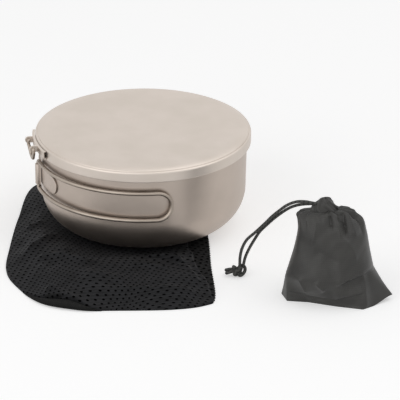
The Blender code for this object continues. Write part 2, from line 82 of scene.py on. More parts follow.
# --- numbers and curves ---------------------------------------------------------------------------------
def smooth_step(value: np.ndarray | float) -> np.ndarray:
    """Rise from 0 to 1 with level ends: 3 v^2 - 2 v^3 of the value held between 0 and 1."""
    held = np.clip(value, 0.0, 1.0)
    return held * held * (3 - 2 * held)


def arc(centre: tuple[float, float], radius: float, start: float, end: float, count: int) -> np.ndarray:
    """Points round a circle: centre plus radius times (cos, sin) of evenly spaced angles.

    Args:
        centre: The circle's centre.
        radius: Its radius.
        start: The first angle, in degrees.
        end: The last angle, in degrees.
        count: How many points.

    Returns:
        An array of count points.
    """
    turn = np.radians(np.linspace(start, end, count))
    return np.column_stack((centre[0] + radius * np.cos(turn), centre[1] + radius * np.sin(turn)))


def spline(
    points: Sequence[Sequence[float]] | np.ndarray, places: np.ndarray, closed: bool = False
) -> np.ndarray:
    """A smooth curve through points, each span the Catmull-Rom cubic of its four neighbours.

    Args:
        points: The points that the curve passes through.
        places: Where to read it, in spans from the first point.
        closed: Whether the last point joins the first.

    Returns:
        One point for each place.
    """
    known = np.asarray(points, float)
    if closed:
        padded = np.vstack((known[-1:], known, known[:2]))
    else:
        padded = np.vstack((2 * known[:1] - known[1:2], known, 2 * known[-1:] - known[-2:-1]))
    span = np.clip(np.floor(places).astype(int), 0, len(padded) - 4)
    t = (places - span)[:, None]
    a, b, c, d = (padded[span + k] for k in range(4))
    pull = (c - a) * t + (2 * a - 5 * b + 4 * c - d) * t**2 + (3 * b - a - 3 * c + d) * t**3
    return b + pull / 2


def lengths_along(points: np.ndarray) -> np.ndarray:
    """How far along a path each of its points lies: the running sum of its steps."""
    return np.concatenate(([0.0], np.cumsum(np.linalg.norm(np.diff(points, axis=0), axis=1))))


def even_path(points: np.ndarray, step: float) -> np.ndarray:
    """The same path with its points an even step apart, by length along it.

    Args:
        points: The path's points.
        step: About how far apart they become.

    Returns:
        The new points.
    """
    lengths = lengths_along(points)
    places = np.linspace(0, lengths[-1], max(3, round(lengths[-1] / step) + 1))
    return np.column_stack([np.interp(places, lengths, column) for column in points.T])


def rounded_square(c: np.ndarray, s: np.ndarray, square: np.ndarray | float) -> np.ndarray:
    """How far a rounded square of half width 1 reaches towards (c, s): (|c|^n + |s|^n)^(-1/n)."""
    return (np.abs(c) ** square + np.abs(s) ** square) ** (-1 / square)


def round_axis(turn: np.ndarray, radius: np.ndarray | float, z: np.ndarray) -> np.ndarray:
    """Points round Z at their radius and height, each turned by an angle from -X towards -Y."""
    angle = math.pi + turn
    return np.stack((radius * np.cos(angle), radius * np.sin(angle), z + 0 * angle), axis=-1)


def waves(x: np.ndarray, y: np.ndarray, size: float, seed: int, count: int = 12) -> np.ndarray:
    """A soft uneven field, mostly from -1 to 1, of sine waves of near one size that run every way.

    It is their sum over the square root of their number.

    Args:
        x: First coordinate of each point.
        y: Second coordinate of each point.
        size: The waves' length.
        seed: Picks the waves, the same each run.
        count: How many waves.

    Returns:
        The field at each point.
    """
    rng = np.random.default_rng(seed)
    total = np.zeros_like(x, float)
    for turn, phase, stretch in zip(
        rng.uniform(0, math.tau, count), rng.uniform(0, math.tau, count), rng.uniform(0.7, 1.5, count)
    ):
        total += np.sin((x * math.cos(turn) + y * math.sin(turn)) * math.tau / (size * stretch) + phase)
    return total / math.sqrt(count)


@dataclass(frozen=True)
class Fold:
    """A ridge in cloth, or a crease where its height is negative, along a line between two points."""

    start: tuple[float, float]
    end: tuple[float, float]
    width: float
    height: float
    bow: float = 0.0
    crisp: bool = False
    one_sided: bool = False

    def rise(self, x: np.ndarray, y: np.ndarray) -> np.ndarray:
        """How far the fold lifts each point.

        Across the line it is a bell, exp(-(distance / width)^2), or where it is crisp a narrow peak, close
        to exp(-|distance| / width) with its point eased. Where it is one-sided, the right of the line drops
        away within a fifth of the width. It fades at both ends, and bows sideways by bow at its middle, as a
        parabola.

        Args:
            x: First coordinate of each point.
            y: Second coordinate of each point.

        Returns:
            The lift at each point.
        """
        ax, ay = self.start
        dx, dy = self.end[0] - ax, self.end[1] - ay
        length = math.hypot(dx, dy)
        along = ((x - ax) * dx + (y - ay) * dy) / length**2
        across = ((y - ay) * dx - (x - ax) * dy) / length - self.bow * 4 * along * (1 - along)
        past, over = 0.12, 0.3  # it ends this share past each point, and fades over this share
        run = smooth_step((along + past) / over) * smooth_step((1 + past - along) / over)
        share = np.abs(across) / self.width
        form = np.exp(-np.sqrt(share**2 + 0.01) + 0.1) if self.crisp else np.exp(-(share**2))
        if self.one_sided:
            form = form * smooth_step(1 + across / (0.2 * self.width))
        return self.height * run * form


# --- meshes ---------------------------------------------------------------------------------------------
def add_object(name: str, data: bpy.types.ID) -> bpy.types.Object:
    """A new object that shows its data, linked to the scene.

    Args:
        name: The object's name.
        data: Its mesh, camera or lamp.

    Returns:
        The new object.
    """
    made = bpy.data.objects.new(name, data)
    bpy.context.scene.collection.objects.link(made)
    return made


def mesh_piece(
    name: str,
    grid: np.ndarray,
    uv: np.ndarray | None = None,
    caps: bool = False,
    sharp: float = METAL_EDGE,
) -> bpy.types.Object:
    """A closed mesh from a grid of points whose columns go all the way round.

    Rows of one repeated point become poles. Faces are turned to point out.

    Args:
        name: The piece's name.
        grid: Points, rows by columns by 3.
        uv: Texture places in metres, rows by columns + 1 by 2.
        caps: Whether the first and last rows get flat faces.
        sharp: The angle in degrees above which an edge stays sharp.

    Returns:
        The new object.
    """
    return mesh_of_grids(name, [(grid, uv, caps)], sharp)


def mesh_of_grids(
    name: str,
    grids: Sequence[tuple[np.ndarray, np.ndarray | None, bool]],
    sharp: float = METAL_EDGE,
) -> bpy.types.Object:
    """One mesh of several closed grids, each as mesh_piece takes it.

    Args:
        name: The piece's name.
        grids: For each part its points, its texture places or None, and whether it has caps.
        sharp: The angle in degrees above which an edge stays sharp.

    Returns:
        The new object.
    """
    points, faces, places, first = [], [], [], 0
    for grid, uv, caps in grids:
        rows, columns = grid.shape[:2]
        row, column = np.meshgrid(np.arange(rows - 1), np.arange(columns), indexing="ij")
        corners = ((0, 0), (0, 1), (1, 1), (1, 0))
        index = [first + (row + r) * columns + (column + c) % columns for r, c in corners]
        faces += np.stack(index, axis=-1).reshape(-1, 4).tolist()
        if uv is None:
            uv = np.zeros((rows, columns + 1, 2))
        places.append(np.stack([uv[row + r, column + c] for r, c in corners], axis=-2).reshape(-1, 2))
        if caps:
            for edge in (0, rows - 1):
                faces.append((first + edge * columns + np.arange(columns)).tolist())
                places.append(uv[edge, :columns])
        points.append(grid.reshape(-1, 3))
        first += rows * columns
    data = bpy.data.meshes.new(name)
    data.from_pydata(np.concatenate(points).tolist(), [], faces)
    layer = data.uv_layers.new(name="cloth")
    layer.data.foreach_set("uv", np.concatenate(places).astype(np.float32).ravel())
    mesh = bmesh.new()
    mesh.from_mesh(data)
    bmesh.ops.remove_doubles(mesh, verts=mesh.verts, dist=WELD)
    bmesh.ops.dissolve_degenerate(mesh, edges=mesh.edges, dist=WELD)
    bmesh.ops.recalc_face_normals(mesh, faces=mesh.faces)
    mesh.to_mesh(data)
    mesh.free()
    data.shade_smooth()
    data.set_sharp_from_angle(angle=math.radians(sharp))
    return add_object(name, data)


def turned_grid(profile: np.ndarray, segments: int) -> np.ndarray:
    """A surface turned round Z: each (r, z) of the profile goes to (r cos t, r sin t, z).

    Args:
        profile: Points (r, z), the first and last of them on the axis.
        segments: How many columns.

    Returns:
        Points, rows by columns by 3.
    """
    turn = np.linspace(0, math.tau, segments, endpoint=False)
    r, z = profile[:, :1], profile[:, 1:]
    return np.stack((r * np.cos(turn), r * np.sin(turn), z + 0 * turn), axis=-1)


def frames_along(path: np.ndarray) -> tuple[np.ndarray, np.ndarray]:
    """Two directions square to a path at each point, carried along it without twist.

    Each is the one before with its part along the new tangent taken out.

    Args:
        path: The path's points.

    Returns:
        The side and the up directions.
    """
    tangent = np.gradient(path, axis=0)
    tangent /= np.linalg.norm(tangent, axis=1, keepdims=True)
    side = np.empty_like(path)
    start = np.cross(tangent[0], (0.0, 0.0, 1.0))
    if np.linalg.norm(start) < 0.1:
        start = np.cross(tangent[0], (1.0, 0.0, 0.0))
    side[0] = start / np.linalg.norm(start)
    for i in range(1, len(path)):
        step = side[i - 1] - tangent[i] * (side[i - 1] @ tangent[i])
        side[i] = step / np.linalg.norm(step)
    return side, np.cross(tangent, side)


def tube_grid(path: np.ndarray, radius: float, sides: int) -> tuple[np.ndarray, np.ndarray]:
    """A round tube along a path: path + radius (side cos t + up sin t), with domed ends.

    Args:
        path: The centre line's points.
        radius: The tube's radius.
        sides: Columns round the tube.

    Returns:
        The points, and their texture places: round the tube, and along it, in metres.
    """
    side, up = frames_along(path)
    turn = np.linspace(0, math.tau, sides, endpoint=False)
    round_it = side[:, None] * np.cos(turn)[:, None] + up[:, None] * np.sin(turn)[:, None]
    dome = np.radians((0, 18, 36, 54, 72))[:, None, None]
    ends = []
    for end, inside in ((0, 1), (-1, -2)):
        outward = path[end] - path[inside]
        outward /= np.linalg.norm(outward)
        ends.append(path[end] + outward * radius * np.cos(dome) + round_it[end] * radius * np.sin(dome))
    rings = np.concatenate((ends[0], path[:, None] + round_it * radius, ends[1][::-1]))
    along = np.pad(lengths_along(path), len(dome), mode="edge")
    reach = np.linspace(0, math.tau * radius, sides + 1)
    return rings, np.stack(np.broadcast_arrays(reach[None, :], along[:, None]), axis=-1)


def hang(piece: bpy.types.Object, body: Body, finish: Finish, node: str) -> None:
    """Dress a piece, let it ride on its body and stand for its CAD node.

    Args:
        piece: The finished piece.
        body: The body that carries it.
        finish: Its finish.
        node: The CAD node that it stands for.
    """
    piece.data.materials.clear()
    piece.data.materials.append(finish.material())
    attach(piece, body.value)
    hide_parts(node)
    LOG.info("%s rides on %s and stands for %s", piece.name, body.value, node)


# --- finishes -------------------------------------------------------------------------------------------
def linear(code: str) -> tuple[float, float, float, float]:
    """A linear colour from an sRGB hex code such as #CBC2B8."""
    parts = [int(code[i : i + 2], 16) / 255 for i in (1, 3, 5)]
    return (*(p / 12.92 if p <= 0.04045 else ((p + 0.055) / 1.055) ** 2.4 for p in parts), 1.0)


def fill(tree: bpy.types.NodeTree, node: bpy.types.Node, inputs: dict[str | int, object]) -> None:
    """Give a node's inputs their values or links.

    Args:
        tree: The node tree.
        node: The node.
        inputs: For each input, a value, or the socket to link to it.
    """
    for key, value in inputs.items():
        if isinstance(value, bpy.types.NodeSocket):
            tree.links.new(value, node.inputs[key])
        else:
            node.inputs[key].default_value = value


def add_node(
    tree: bpy.types.NodeTree,
    kind: str,
    inputs: dict[str | int, object] | None = None,
    stops: Sequence[tuple[float, str]] = (),
    **settings: object,
) -> bpy.types.Node:
    """Add a node with its settings, and fill or link its inputs.

    Args:
        tree: The node tree.
        kind: The node's type.
        inputs: For each input, a value, or the socket to link to it.
        stops: For a colour ramp, two places from 0 to 1 with their sRGB hex colours.
        settings: The node's own settings.

    Returns:
        The new node.
    """
    node = tree.nodes.new(kind)
    for key, value in settings.items():
        setattr(node, key, value)
    fill(tree, node, inputs or {})
    for index, (place, code) in enumerate(stops):
        element = node.color_ramp.elements[index]
        element.position = place
        element.color = linear(code)
    return node


class Finish:
    """A finish that makes its Blender material once and shares it."""

    _made: dict[object, bpy.types.Material] = {}

    def material(self) -> bpy.types.Material:
        """The finish's material, made the first time that it is asked for.

        Returns:
            The material, the same one each time.
        """
        if self not in Finish._made:
            made = bpy.data.materials.new(type(self).__name__)
            made.use_nodes = True
            made.node_tree.nodes.clear()
            shader = add_node(made.node_tree, "ShaderNodeBsdfPrincipled")
            add_node(made.node_tree, "ShaderNodeOutputMaterial", {"Surface": shader.outputs["BSDF"]})
            self.dress(made.node_tree, shader)
            Finish._made[self] = made
        return Finish._made[self]

    def dress(self, tree: bpy.types.NodeTree, shader: bpy.types.Node) -> None:
        """Set the shader's sockets and link its patterns.

        Args:
            tree: The material's node tree.
            shader: Its shader.
        """
        raise NotImplementedError


@dataclass(frozen=True)
class BlastedTitanium(Finish):
    """Bead-blasted titanium sheet: a soft, warm grey metal with a matt grain and no sharp reflections."""

    pale: str = "#D1C7BE"
    deep: str = "#CBC1B7"
    roughness: float = 0.42
    grain: float = 0.7 * MM
    cloud: float = 24 * MM

    def dress(self, tree: bpy.types.NodeTree, shader: bpy.types.Node) -> None:
        """Faint clouds in colour and gloss, and the blasted grain as a shallow bump.

        The real grain is about 0.1 mm. It is drawn at 0.7 mm, the finest that shows in the render.

        Args:
            tree: The material's node tree.
            shader: Its shader.
        """
        place = add_node(tree, "ShaderNodeTexCoord").outputs["Object"]
        noise = {"Vector": place, "Scale": 1 / self.cloud, "Detail": 3.0}
        clouds = add_node(tree, "ShaderNodeTexNoise", noise)
        noise = {"Vector": place, "Scale": 1 / self.grain, "Detail": 2.0}
        grain = add_node(tree, "ShaderNodeTexNoise", noise)
        stops = [(0.35, self.deep), (0.65, self.pale)]
        colour = add_node(tree, "ShaderNodeValToRGB", {"Fac": clouds.outputs["Fac"]}, stops)
        spread = {"From Min": 0.3, "From Max": 0.7}
        spread |= {"To Min": self.roughness - 0.02, "To Max": self.roughness + 0.03}
        gloss = add_node(tree, "ShaderNodeMapRange", {"Value": clouds.outputs["Fac"], **spread})
        relief = {"Height": grain.outputs["Fac"], "Strength": 0.10, "Distance": 0.0001}
        bump = add_node(tree, "ShaderNodeBump", relief)
        sockets = {"Metallic": 1.0, "Base Color": colour.outputs["Color"]}
        sockets |= {"Roughness": gloss.outputs["Result"], "Normal": bump.outputs["Normal"]}
        fill(tree, shader, sockets)


@dataclass(frozen=True)
class PolyesterMesh(Finish):
    """Knitted black polyester mesh: matt, ribbed yarn with staggered rows of small dark holes."""

    yarn: str = "#181819"
    worn: str = "#28282A"
    hole: str = "#010101"
    across: float = 6.2 * MM
    along: float = 8.4 * MM
    hole_radius: float = 1.05 * MM
    rib: float = 1.5 * MM
    shine: float = 0.22

    def dress(self, tree: bpy.types.NodeTree, shader: bpy.types.Node) -> None:
        """Holes at the corners and middles of cells on the cloth's own map, and ribs of yarn between them.

        Args:
            tree: The material's node tree.
            shader: Its shader.
        """
        place = add_node(tree, "ShaderNodeUVMap", uv_map="cloth").outputs["UV"]
        stretch = (1 / self.across, 1 / self.along, 1)
        metres = (self.across, self.along * 1.15, 0)
        centres = []
        for shift in (0.0, 0.5):
            cells = {0: place, 1: (shift, shift, 0), 3: stretch}
            socket = add_node(tree, "ShaderNodeMapping", cells).outputs[0]
            for step, amount in (("FRACTION", None), ("SUBTRACT", (0.5, 0.5, 0)), ("MULTIPLY", metres)):
                inputs = {0: socket} if amount is None else {0: socket, 1: amount}
                socket = add_node(tree, "ShaderNodeVectorMath", inputs, operation=step).outputs[0]
            centres.append(add_node(tree, "ShaderNodeVectorMath", {0: socket}, operation="LENGTH").outputs[1])
        pair = {0: centres[0], 1: centres[1]}
        near = {0: add_node(tree, "ShaderNodeMath", pair, operation="MINIMUM").outputs[0]}
        edges = (
            {1: self.hole_radius * 0.8, 2: self.hole_radius * 1.25},
            {1: self.hole_radius * 1.2, 2: self.hole_radius * 2.4, 3: 1.0, 4: 0.55},
        )
        solid, rolled = (
            add_node(tree, "ShaderNodeMapRange", near | edge, interpolation_type="SMOOTHSTEP").outputs[0]
            for edge in edges
        )
        wave = {"Vector": place, "Scale": 1 / self.rib / math.tau, "Distortion": 1.5, "Detail": 2.0}
        ribs = add_node(tree, "ShaderNodeTexWave", wave, bands_direction="Y").outputs["Fac"]
        noise = {"Vector": place, "Scale": 90.0, "Detail": 5.0}
        cloud = add_node(tree, "ShaderNodeTexNoise", noise).outputs["Fac"]
        shade = add_node(tree, "ShaderNodeMath", {0: ribs, 1: 0.25, 2: cloud}, operation="MULTIPLY_ADD")
        stops = [(0.4, self.yarn), (0.8, self.worn)]
        cloth = add_node(tree, "ShaderNodeValToRGB", {"Fac": shade.outputs[0]}, stops)
        mixed = {0: solid, 6: linear(self.hole), 7: cloth.outputs["Color"]}
        colour = add_node(tree, "ShaderNodeMix", mixed, data_type="RGBA")
        lift = add_node(tree, "ShaderNodeMath", {0: solid, 1: rolled}, operation="MULTIPLY").outputs[0]
        height = add_node(tree, "ShaderNodeMath", {0: ribs, 1: 0.15, 2: lift}, operation="MULTIPLY_ADD")
        relief = {"Height": height.outputs[0], "Strength": 0.8, "Distance": 0.0007}
        bump = add_node(tree, "ShaderNodeBump", relief)
        gloss = add_node(tree, "ShaderNodeMath", {0: solid, 1: self.shine}, operation="MULTIPLY")
        fill(tree, shader, {"Roughness": 0.8, "Base Color": colour.outputs[2]})
        fill(tree, shader, {"Specular IOR Level": gloss.outputs[0], "Normal": bump.outputs["Normal"]})


@dataclass(frozen=True)
class NylonTaffeta(Finish):
    """Plain-woven dark grey nylon: a fine weave, slightly glossy on its folds."""

    dark: str = "#282725"
    pale: str = "#3B3A37"
    thread: float = 0.7 * MM

    def dress(self, tree: bpy.types.NodeTree, shader: bpy.types.Node) -> None:
        """Two crossed sets of threads on the cloth's own map, drawn at 0.7 mm though the real are 0.2 mm.

        Args:
            tree: The material's node tree.
            shader: Its shader.
        """
        place = add_node(tree, "ShaderNodeUVMap", uv_map="cloth").outputs["UV"]
        wave = {"Vector": place, "Scale": 1 / self.thread / math.tau, "Distortion": 0.6, "Detail": 1.0}
        threads = [
            add_node(tree, "ShaderNodeTexWave", wave, bands_direction=direction).outputs["Fac"]
            for direction in ("X", "Y")
        ]
        crossed = {0: threads[0], 1: threads[1]}
        weave = add_node(tree, "ShaderNodeMath", crossed, operation="MULTIPLY").outputs[0]
        cloud, crinkle = (
            add_node(tree, "ShaderNodeTexNoise", {"Vector": place} | noise).outputs["Fac"]
            for noise in ({"Scale": 45.0, "Detail": 5.0}, {"Scale": 130.0, "Detail": 3.0})
        )
        mixed = add_node(tree, "ShaderNodeMath", {0: weave, 1: 0.35, 2: cloud}, operation="MULTIPLY_ADD")
        stops = [(0.35, self.dark), (0.85, self.pale)]
        colour = add_node(tree, "ShaderNodeValToRGB", {"Fac": mixed.outputs[0]}, stops)
        height = add_node(tree, "ShaderNodeMath", {0: weave, 1: 0.10, 2: crinkle}, operation="MULTIPLY_ADD")
        relief = {"Height": height.outputs[0], "Strength": 0.35, "Distance": 0.0006}
        bump = add_node(tree, "ShaderNodeBump", relief)
        fill(tree, shader, {"Roughness": 0.48, "Specular IOR Level": 0.45, "Sheen Weight": 0.14})
        fill(tree, shader, {"Base Color": colour.outputs["Color"], "Normal": bump.outputs["Normal"]})


@dataclass(frozen=True)
class BraidedCord(Finish):
    """Round braided polyester cord: dark grey strands that cross on a slant."""

    dark: str = "#161615"
    pale: str = "#4C4C49"
    strand: float = 1.3 * MM

    def dress(self, tree: bpy.types.NodeTree, shader: bpy.types.Node) -> None:
        """Two sets of slanted bands on the cord's own map, round it and along it, that make the braid.

        Args:
            tree: The material's node tree.
            shader: Its shader.
        """
        place = add_node(tree, "ShaderNodeUVMap", uv_map="cloth").outputs["UV"]
        bands = []
        for slant in (1, -1):
            turned = {"Vector": place, "Rotation": (0, 0, slant * math.radians(50))}
            moved = add_node(tree, "ShaderNodeMapping", turned).outputs[0]
            wave = {"Vector": moved, "Scale": 1 / self.strand / math.tau, "Distortion": 0.0}
            bands.append(add_node(tree, "ShaderNodeTexWave", wave, bands_direction="X").outputs["Fac"])
        braid = add_node(tree, "ShaderNodeMath", {0: bands[0], 1: bands[1]}, operation="MAXIMUM").outputs[0]
        stops = [(0.1, self.dark), (0.9, self.pale)]
        colour = add_node(tree, "ShaderNodeValToRGB", {"Fac": braid}, stops)
        bump = add_node(tree, "ShaderNodeBump", {"Height": braid, "Strength": 0.5, "Distance": 0.0003})
        fill(tree, shader, {"Roughness": 0.75, "Base Color": colour.outputs["Color"]})
        fill(tree, shader, {"Normal": bump.outputs["Normal"]})


TITANIUM = BlastedTitanium()
# The pot's wall and bracket are the lid's titanium painted darker: painted shade, because upright faces catch
# less light than the lid's top.
WALL_PAINTED_SHADE = BlastedTitanium(pale="#BEB2A8", deep="#B7ABA1")
# The handle and lid loop wires are the same titanium painted darker still: painted shade, with a slightly
# glossier finish.
WIRE_PAINTED_SHADE = BlastedTitanium(pale="#ADA297", deep="#A2978C", roughness=0.40, cloud=15 * MM)
MESH_CLOTH = PolyesterMesh()
# The same mesh in near black: painted shade for the lower cloth beyond the long fold and for the inside of
# the mouth.
MESH_PAINTED_SHADE = PolyesterMesh(yarn="#0B0B0C", worn="#131314", hole_radius=1.2 * MM)
HEM_TAPE = PolyesterMesh(
    yarn="#0C0C0C", worn="#161615", across=1.6 * MM, along=2.2 * MM, hole_radius=0.2 * MM
)
NYLON = NylonTaffeta()
CORD = BraidedCord()


# --- pot ------------------------------------------------------------------------------------------------
@dataclass
class Pot:
    """The drawn pot, its bracket and its folding handle."""

    base: float = 3.3 * MM
    radius: float = 82.0 * MM
    taper: float = 1.2 * MM
    corner: float = 30.0 * MM
    height: float = 75.7 * MM
    sheet: float = 0.7 * MM
    bead: float = 1.1 * MM
    gap: float = 0.3 * MM
    wire: float = 1.6 * MM
    handle_radius: float = 84.338 * MM
    upper_leg: float = 61.4 * MM
    lower_leg: float = 38.7 * MM
    reach: float = math.radians(94.0)
    bend: float = 2.6 * MM
    stub: float = 5.0 * MM
    plate_half: float = 31.8 * MM
    plate_margin: float = 2.2 * MM
    plate_sheet: float = 1.0 * MM
    plate_edge: float = 0.35 * MM
    weld_places: tuple[float, ...] = (-23.0 * MM, -13.0 * MM, 13.0 * MM, 23.0 * MM)
    weld_radius: float = 1.7 * MM
    weld_rise: float = 0.16 * MM
    bore: float = 1.85 * MM
    bore_wall: float = 0.7 * MM
    segments: int = 240

    @property
    def rim(self) -> float:
        """Height of the rim."""
        return self.base + self.height

    @property
    def middle(self) -> float:
        """Height midway between the handle's legs."""
        return (self.upper_leg + self.lower_leg) / 2

    @property
    def leg_half(self) -> float:
        """Half the height between the handle's legs."""
        return (self.upper_leg - self.lower_leg) / 2

    def wall(self, z: np.ndarray | float) -> np.ndarray:
        """The outside radius of the wall at a height, narrower towards the bottom corner."""
        share = (self.rim - np.asarray(z)) / (self.rim - self.base - self.corner)
        return self.radius - self.taper * np.clip(share, 0.0, 1.0)

    def body_profile(self) -> np.ndarray:
        """The turned outline: flat base, round corner, tapered wall, rolled rim, and the inside back down.

        Returns:
            Points (r, z).
        """
        flat = self.radius - self.taper - self.corner
        corner_z = self.base + self.corner
        bead_at = (self.radius - self.sheet + self.bead, self.rim - self.bead)
        outside = arc((flat, corner_z), self.corner, -90, 0, 40)
        levels = np.linspace(corner_z, bead_at[1] - self.bead, 14)[1:]
        wall = np.column_stack((self.wall(levels), levels))
        roll = arc(bead_at, self.bead, -70, 180, 18)
        inner = np.column_stack((self.wall(levels[::-1]) - self.sheet, levels[::-1]))
        inside = arc((flat, corner_z), self.corner - self.sheet, 0, -90, 40)
        ends = np.array([(0, self.base)]), np.array([(0, self.base + self.sheet)])
        floor = np.column_stack((np.linspace(0, flat, 8)[1:-1], np.full(6, self.base)))
        return np.vstack((ends[0], floor, outside, wall, roll, inner, inside, ends[1]))

    def wrap(self, across: np.ndarray, radius: np.ndarray, z: np.ndarray) -> np.ndarray:
        """Points wrapped round the pot from the bracket's middle: across is a distance along the wall."""
        return round_axis(across / self.radius, radius, z)

    def plate_grid(self) -> np.ndarray:
        """The bracket's plate: a bar with round ends, drawn in from its outline in steps.

        Each column is a point of the middle line plus a direction square to it, times the half height less
        an inset. The rows go out along the rear from the middle line, over the rounded front edge, and in
        along the front to the middle line.

        Returns:
            Points, rows by columns by 3.
        """
        half = self.leg_half - self.wire - self.plate_margin
        straight = self.plate_half - half
        top = np.linspace(-straight, straight, 30)
        bow = np.radians(np.linspace(90, -90, 18))[1:-1]
        spine = np.concatenate((top, np.full(16, straight), top[::-1], np.full(16, -straight)))
        side_x = np.concatenate((0 * top, np.cos(bow), 0 * top, -np.cos(bow)))
        side_z = np.concatenate((0 * top + 1, np.sin(bow), 0 * top - 1, -np.sin(bow)))
        edge = self.plate_edge
        turn = np.radians(np.linspace(0, 90, 6))
        inset = np.concatenate(([half, 0.0], edge * (1 - np.cos(turn)), [half * 0.4, half]))
        front = self.plate_sheet
        out = np.concatenate(([0.0, 0.0], front - edge + edge * np.sin(turn), [front, front]))
        size = half - inset[:, None]
        z = self.middle + side_z * size
        return self.wrap(spine + side_x * size, self.wall(z) + self.gap + out[:, None], z)

    def channel_grid(self) -> np.ndarray:
        """The channel pressed over the wire: an arch of even thickness carried up the plate's middle.

        Returns:
            Points, rows by columns by 3.
        """
        arch = np.radians(np.linspace(-8, 188, 25))
        outer, inner = self.bore + self.bore_wall, self.bore
        # the foot flares out over the plate: places across, and out from the wire's line
        foot = np.array([(outer + 1.6 * MM, -1.25 * MM), (outer + 0.5 * MM, -1.0 * MM)])
        far = foot[::-1]
        across = np.concatenate((foot[:, 0], outer * np.cos(arch), -far[:, 0], inner * np.cos(arch[::-1])))
        out = np.concatenate((foot[:, 1], outer * np.sin(arch), far[:, 1], inner * np.sin(arch[::-1])))
        low, high = self.lower_leg + self.bend + self.gap, self.upper_leg - self.bend - self.gap
        z = np.array([low, low + 0.25 * MM, high - 0.25 * MM, high])[:, None]
        shrink = np.array([0.25, 0.0, 0.0, 0.25])[:, None] * MM
        radius = self.handle_radius + out - shrink * (out > 0)
        return self.wrap(across + 0 * z, radius, z)

    def weld_marks(self) -> list[np.ndarray]:
        """Shallow round spot-weld marks, each a low dome: height (1 - r^2) over a disc.

        Returns:
            For each mark its points, rows by columns by 3.
        """
        marks = []
        r = np.linspace(0, 1, 7)[::-1][:, None]
        turn = np.linspace(0, math.tau, 24, endpoint=False)
        for place in self.weld_places:
            across = place + self.weld_radius * r * np.cos(turn)
            z = self.middle + self.weld_radius * r * np.sin(turn)
            front = self.wall(z) + self.gap + self.plate_sheet
            dome = self.wrap(across, front + self.weld_rise * (1 - r**2), z)
            sunk = self.wrap(across[0], front[0] - 0.3 * MM, z[0])
            marks.append(np.concatenate((sunk[None], dome)))
        return marks

    def handle_path(self) -> np.ndarray:
        """The handle's centre line, all of it at one radius from the pot's axis.

        It runs from an end in the bore through a bend, along the upper leg round the wall, round the grip's
        half circle, back along the lower leg, and through a bend to the other end.

        Returns:
            The line's points.
        """
        half = self.leg_half
        far = self.reach * self.handle_radius - half - self.wire
        bend = arc((self.bend, half - self.bend), self.bend, 180, 90, 9)
        leg = np.column_stack((np.linspace(self.bend, far, 60)[1:-1], np.full(58, half)))
        grip = arc((far, 0.0), half, 90, -90, 41)
        upper = np.vstack(([(0.0, half - self.bend - self.stub)], bend, leg))
        flat = even_path(np.vstack((upper, grip, upper[::-1] * (1, -1))), 0.9 * MM)
        return round_axis(flat[:, 0] / self.handle_radius, self.handle_radius, self.middle + flat[:, 1])

    def build(self) -> None:
        """Make the pot, its bracket and its handle."""
        body = mesh_piece("pot_shell", turned_grid(self.body_profile(), self.segments))
        hang(body, Body.POT, WALL_PAINTED_SHADE, "pot_body")
        grids = [(self.plate_grid(), None, False), (self.channel_grid(), None, True)]
        grids += [(mark, None, True) for mark in self.weld_marks()]
        bracket = mesh_of_grids("handle_bracket", grids)
        hang(bracket, Body.POT, WALL_PAINTED_SHADE, "pot_bracket")
        points, places = tube_grid(self.handle_path(), self.wire, sides=24)
        handle = mesh_piece("handle_wire", points, places)
        hang(handle, Body.HANDLE, WIRE_PAINTED_SHADE, "pot_handle")


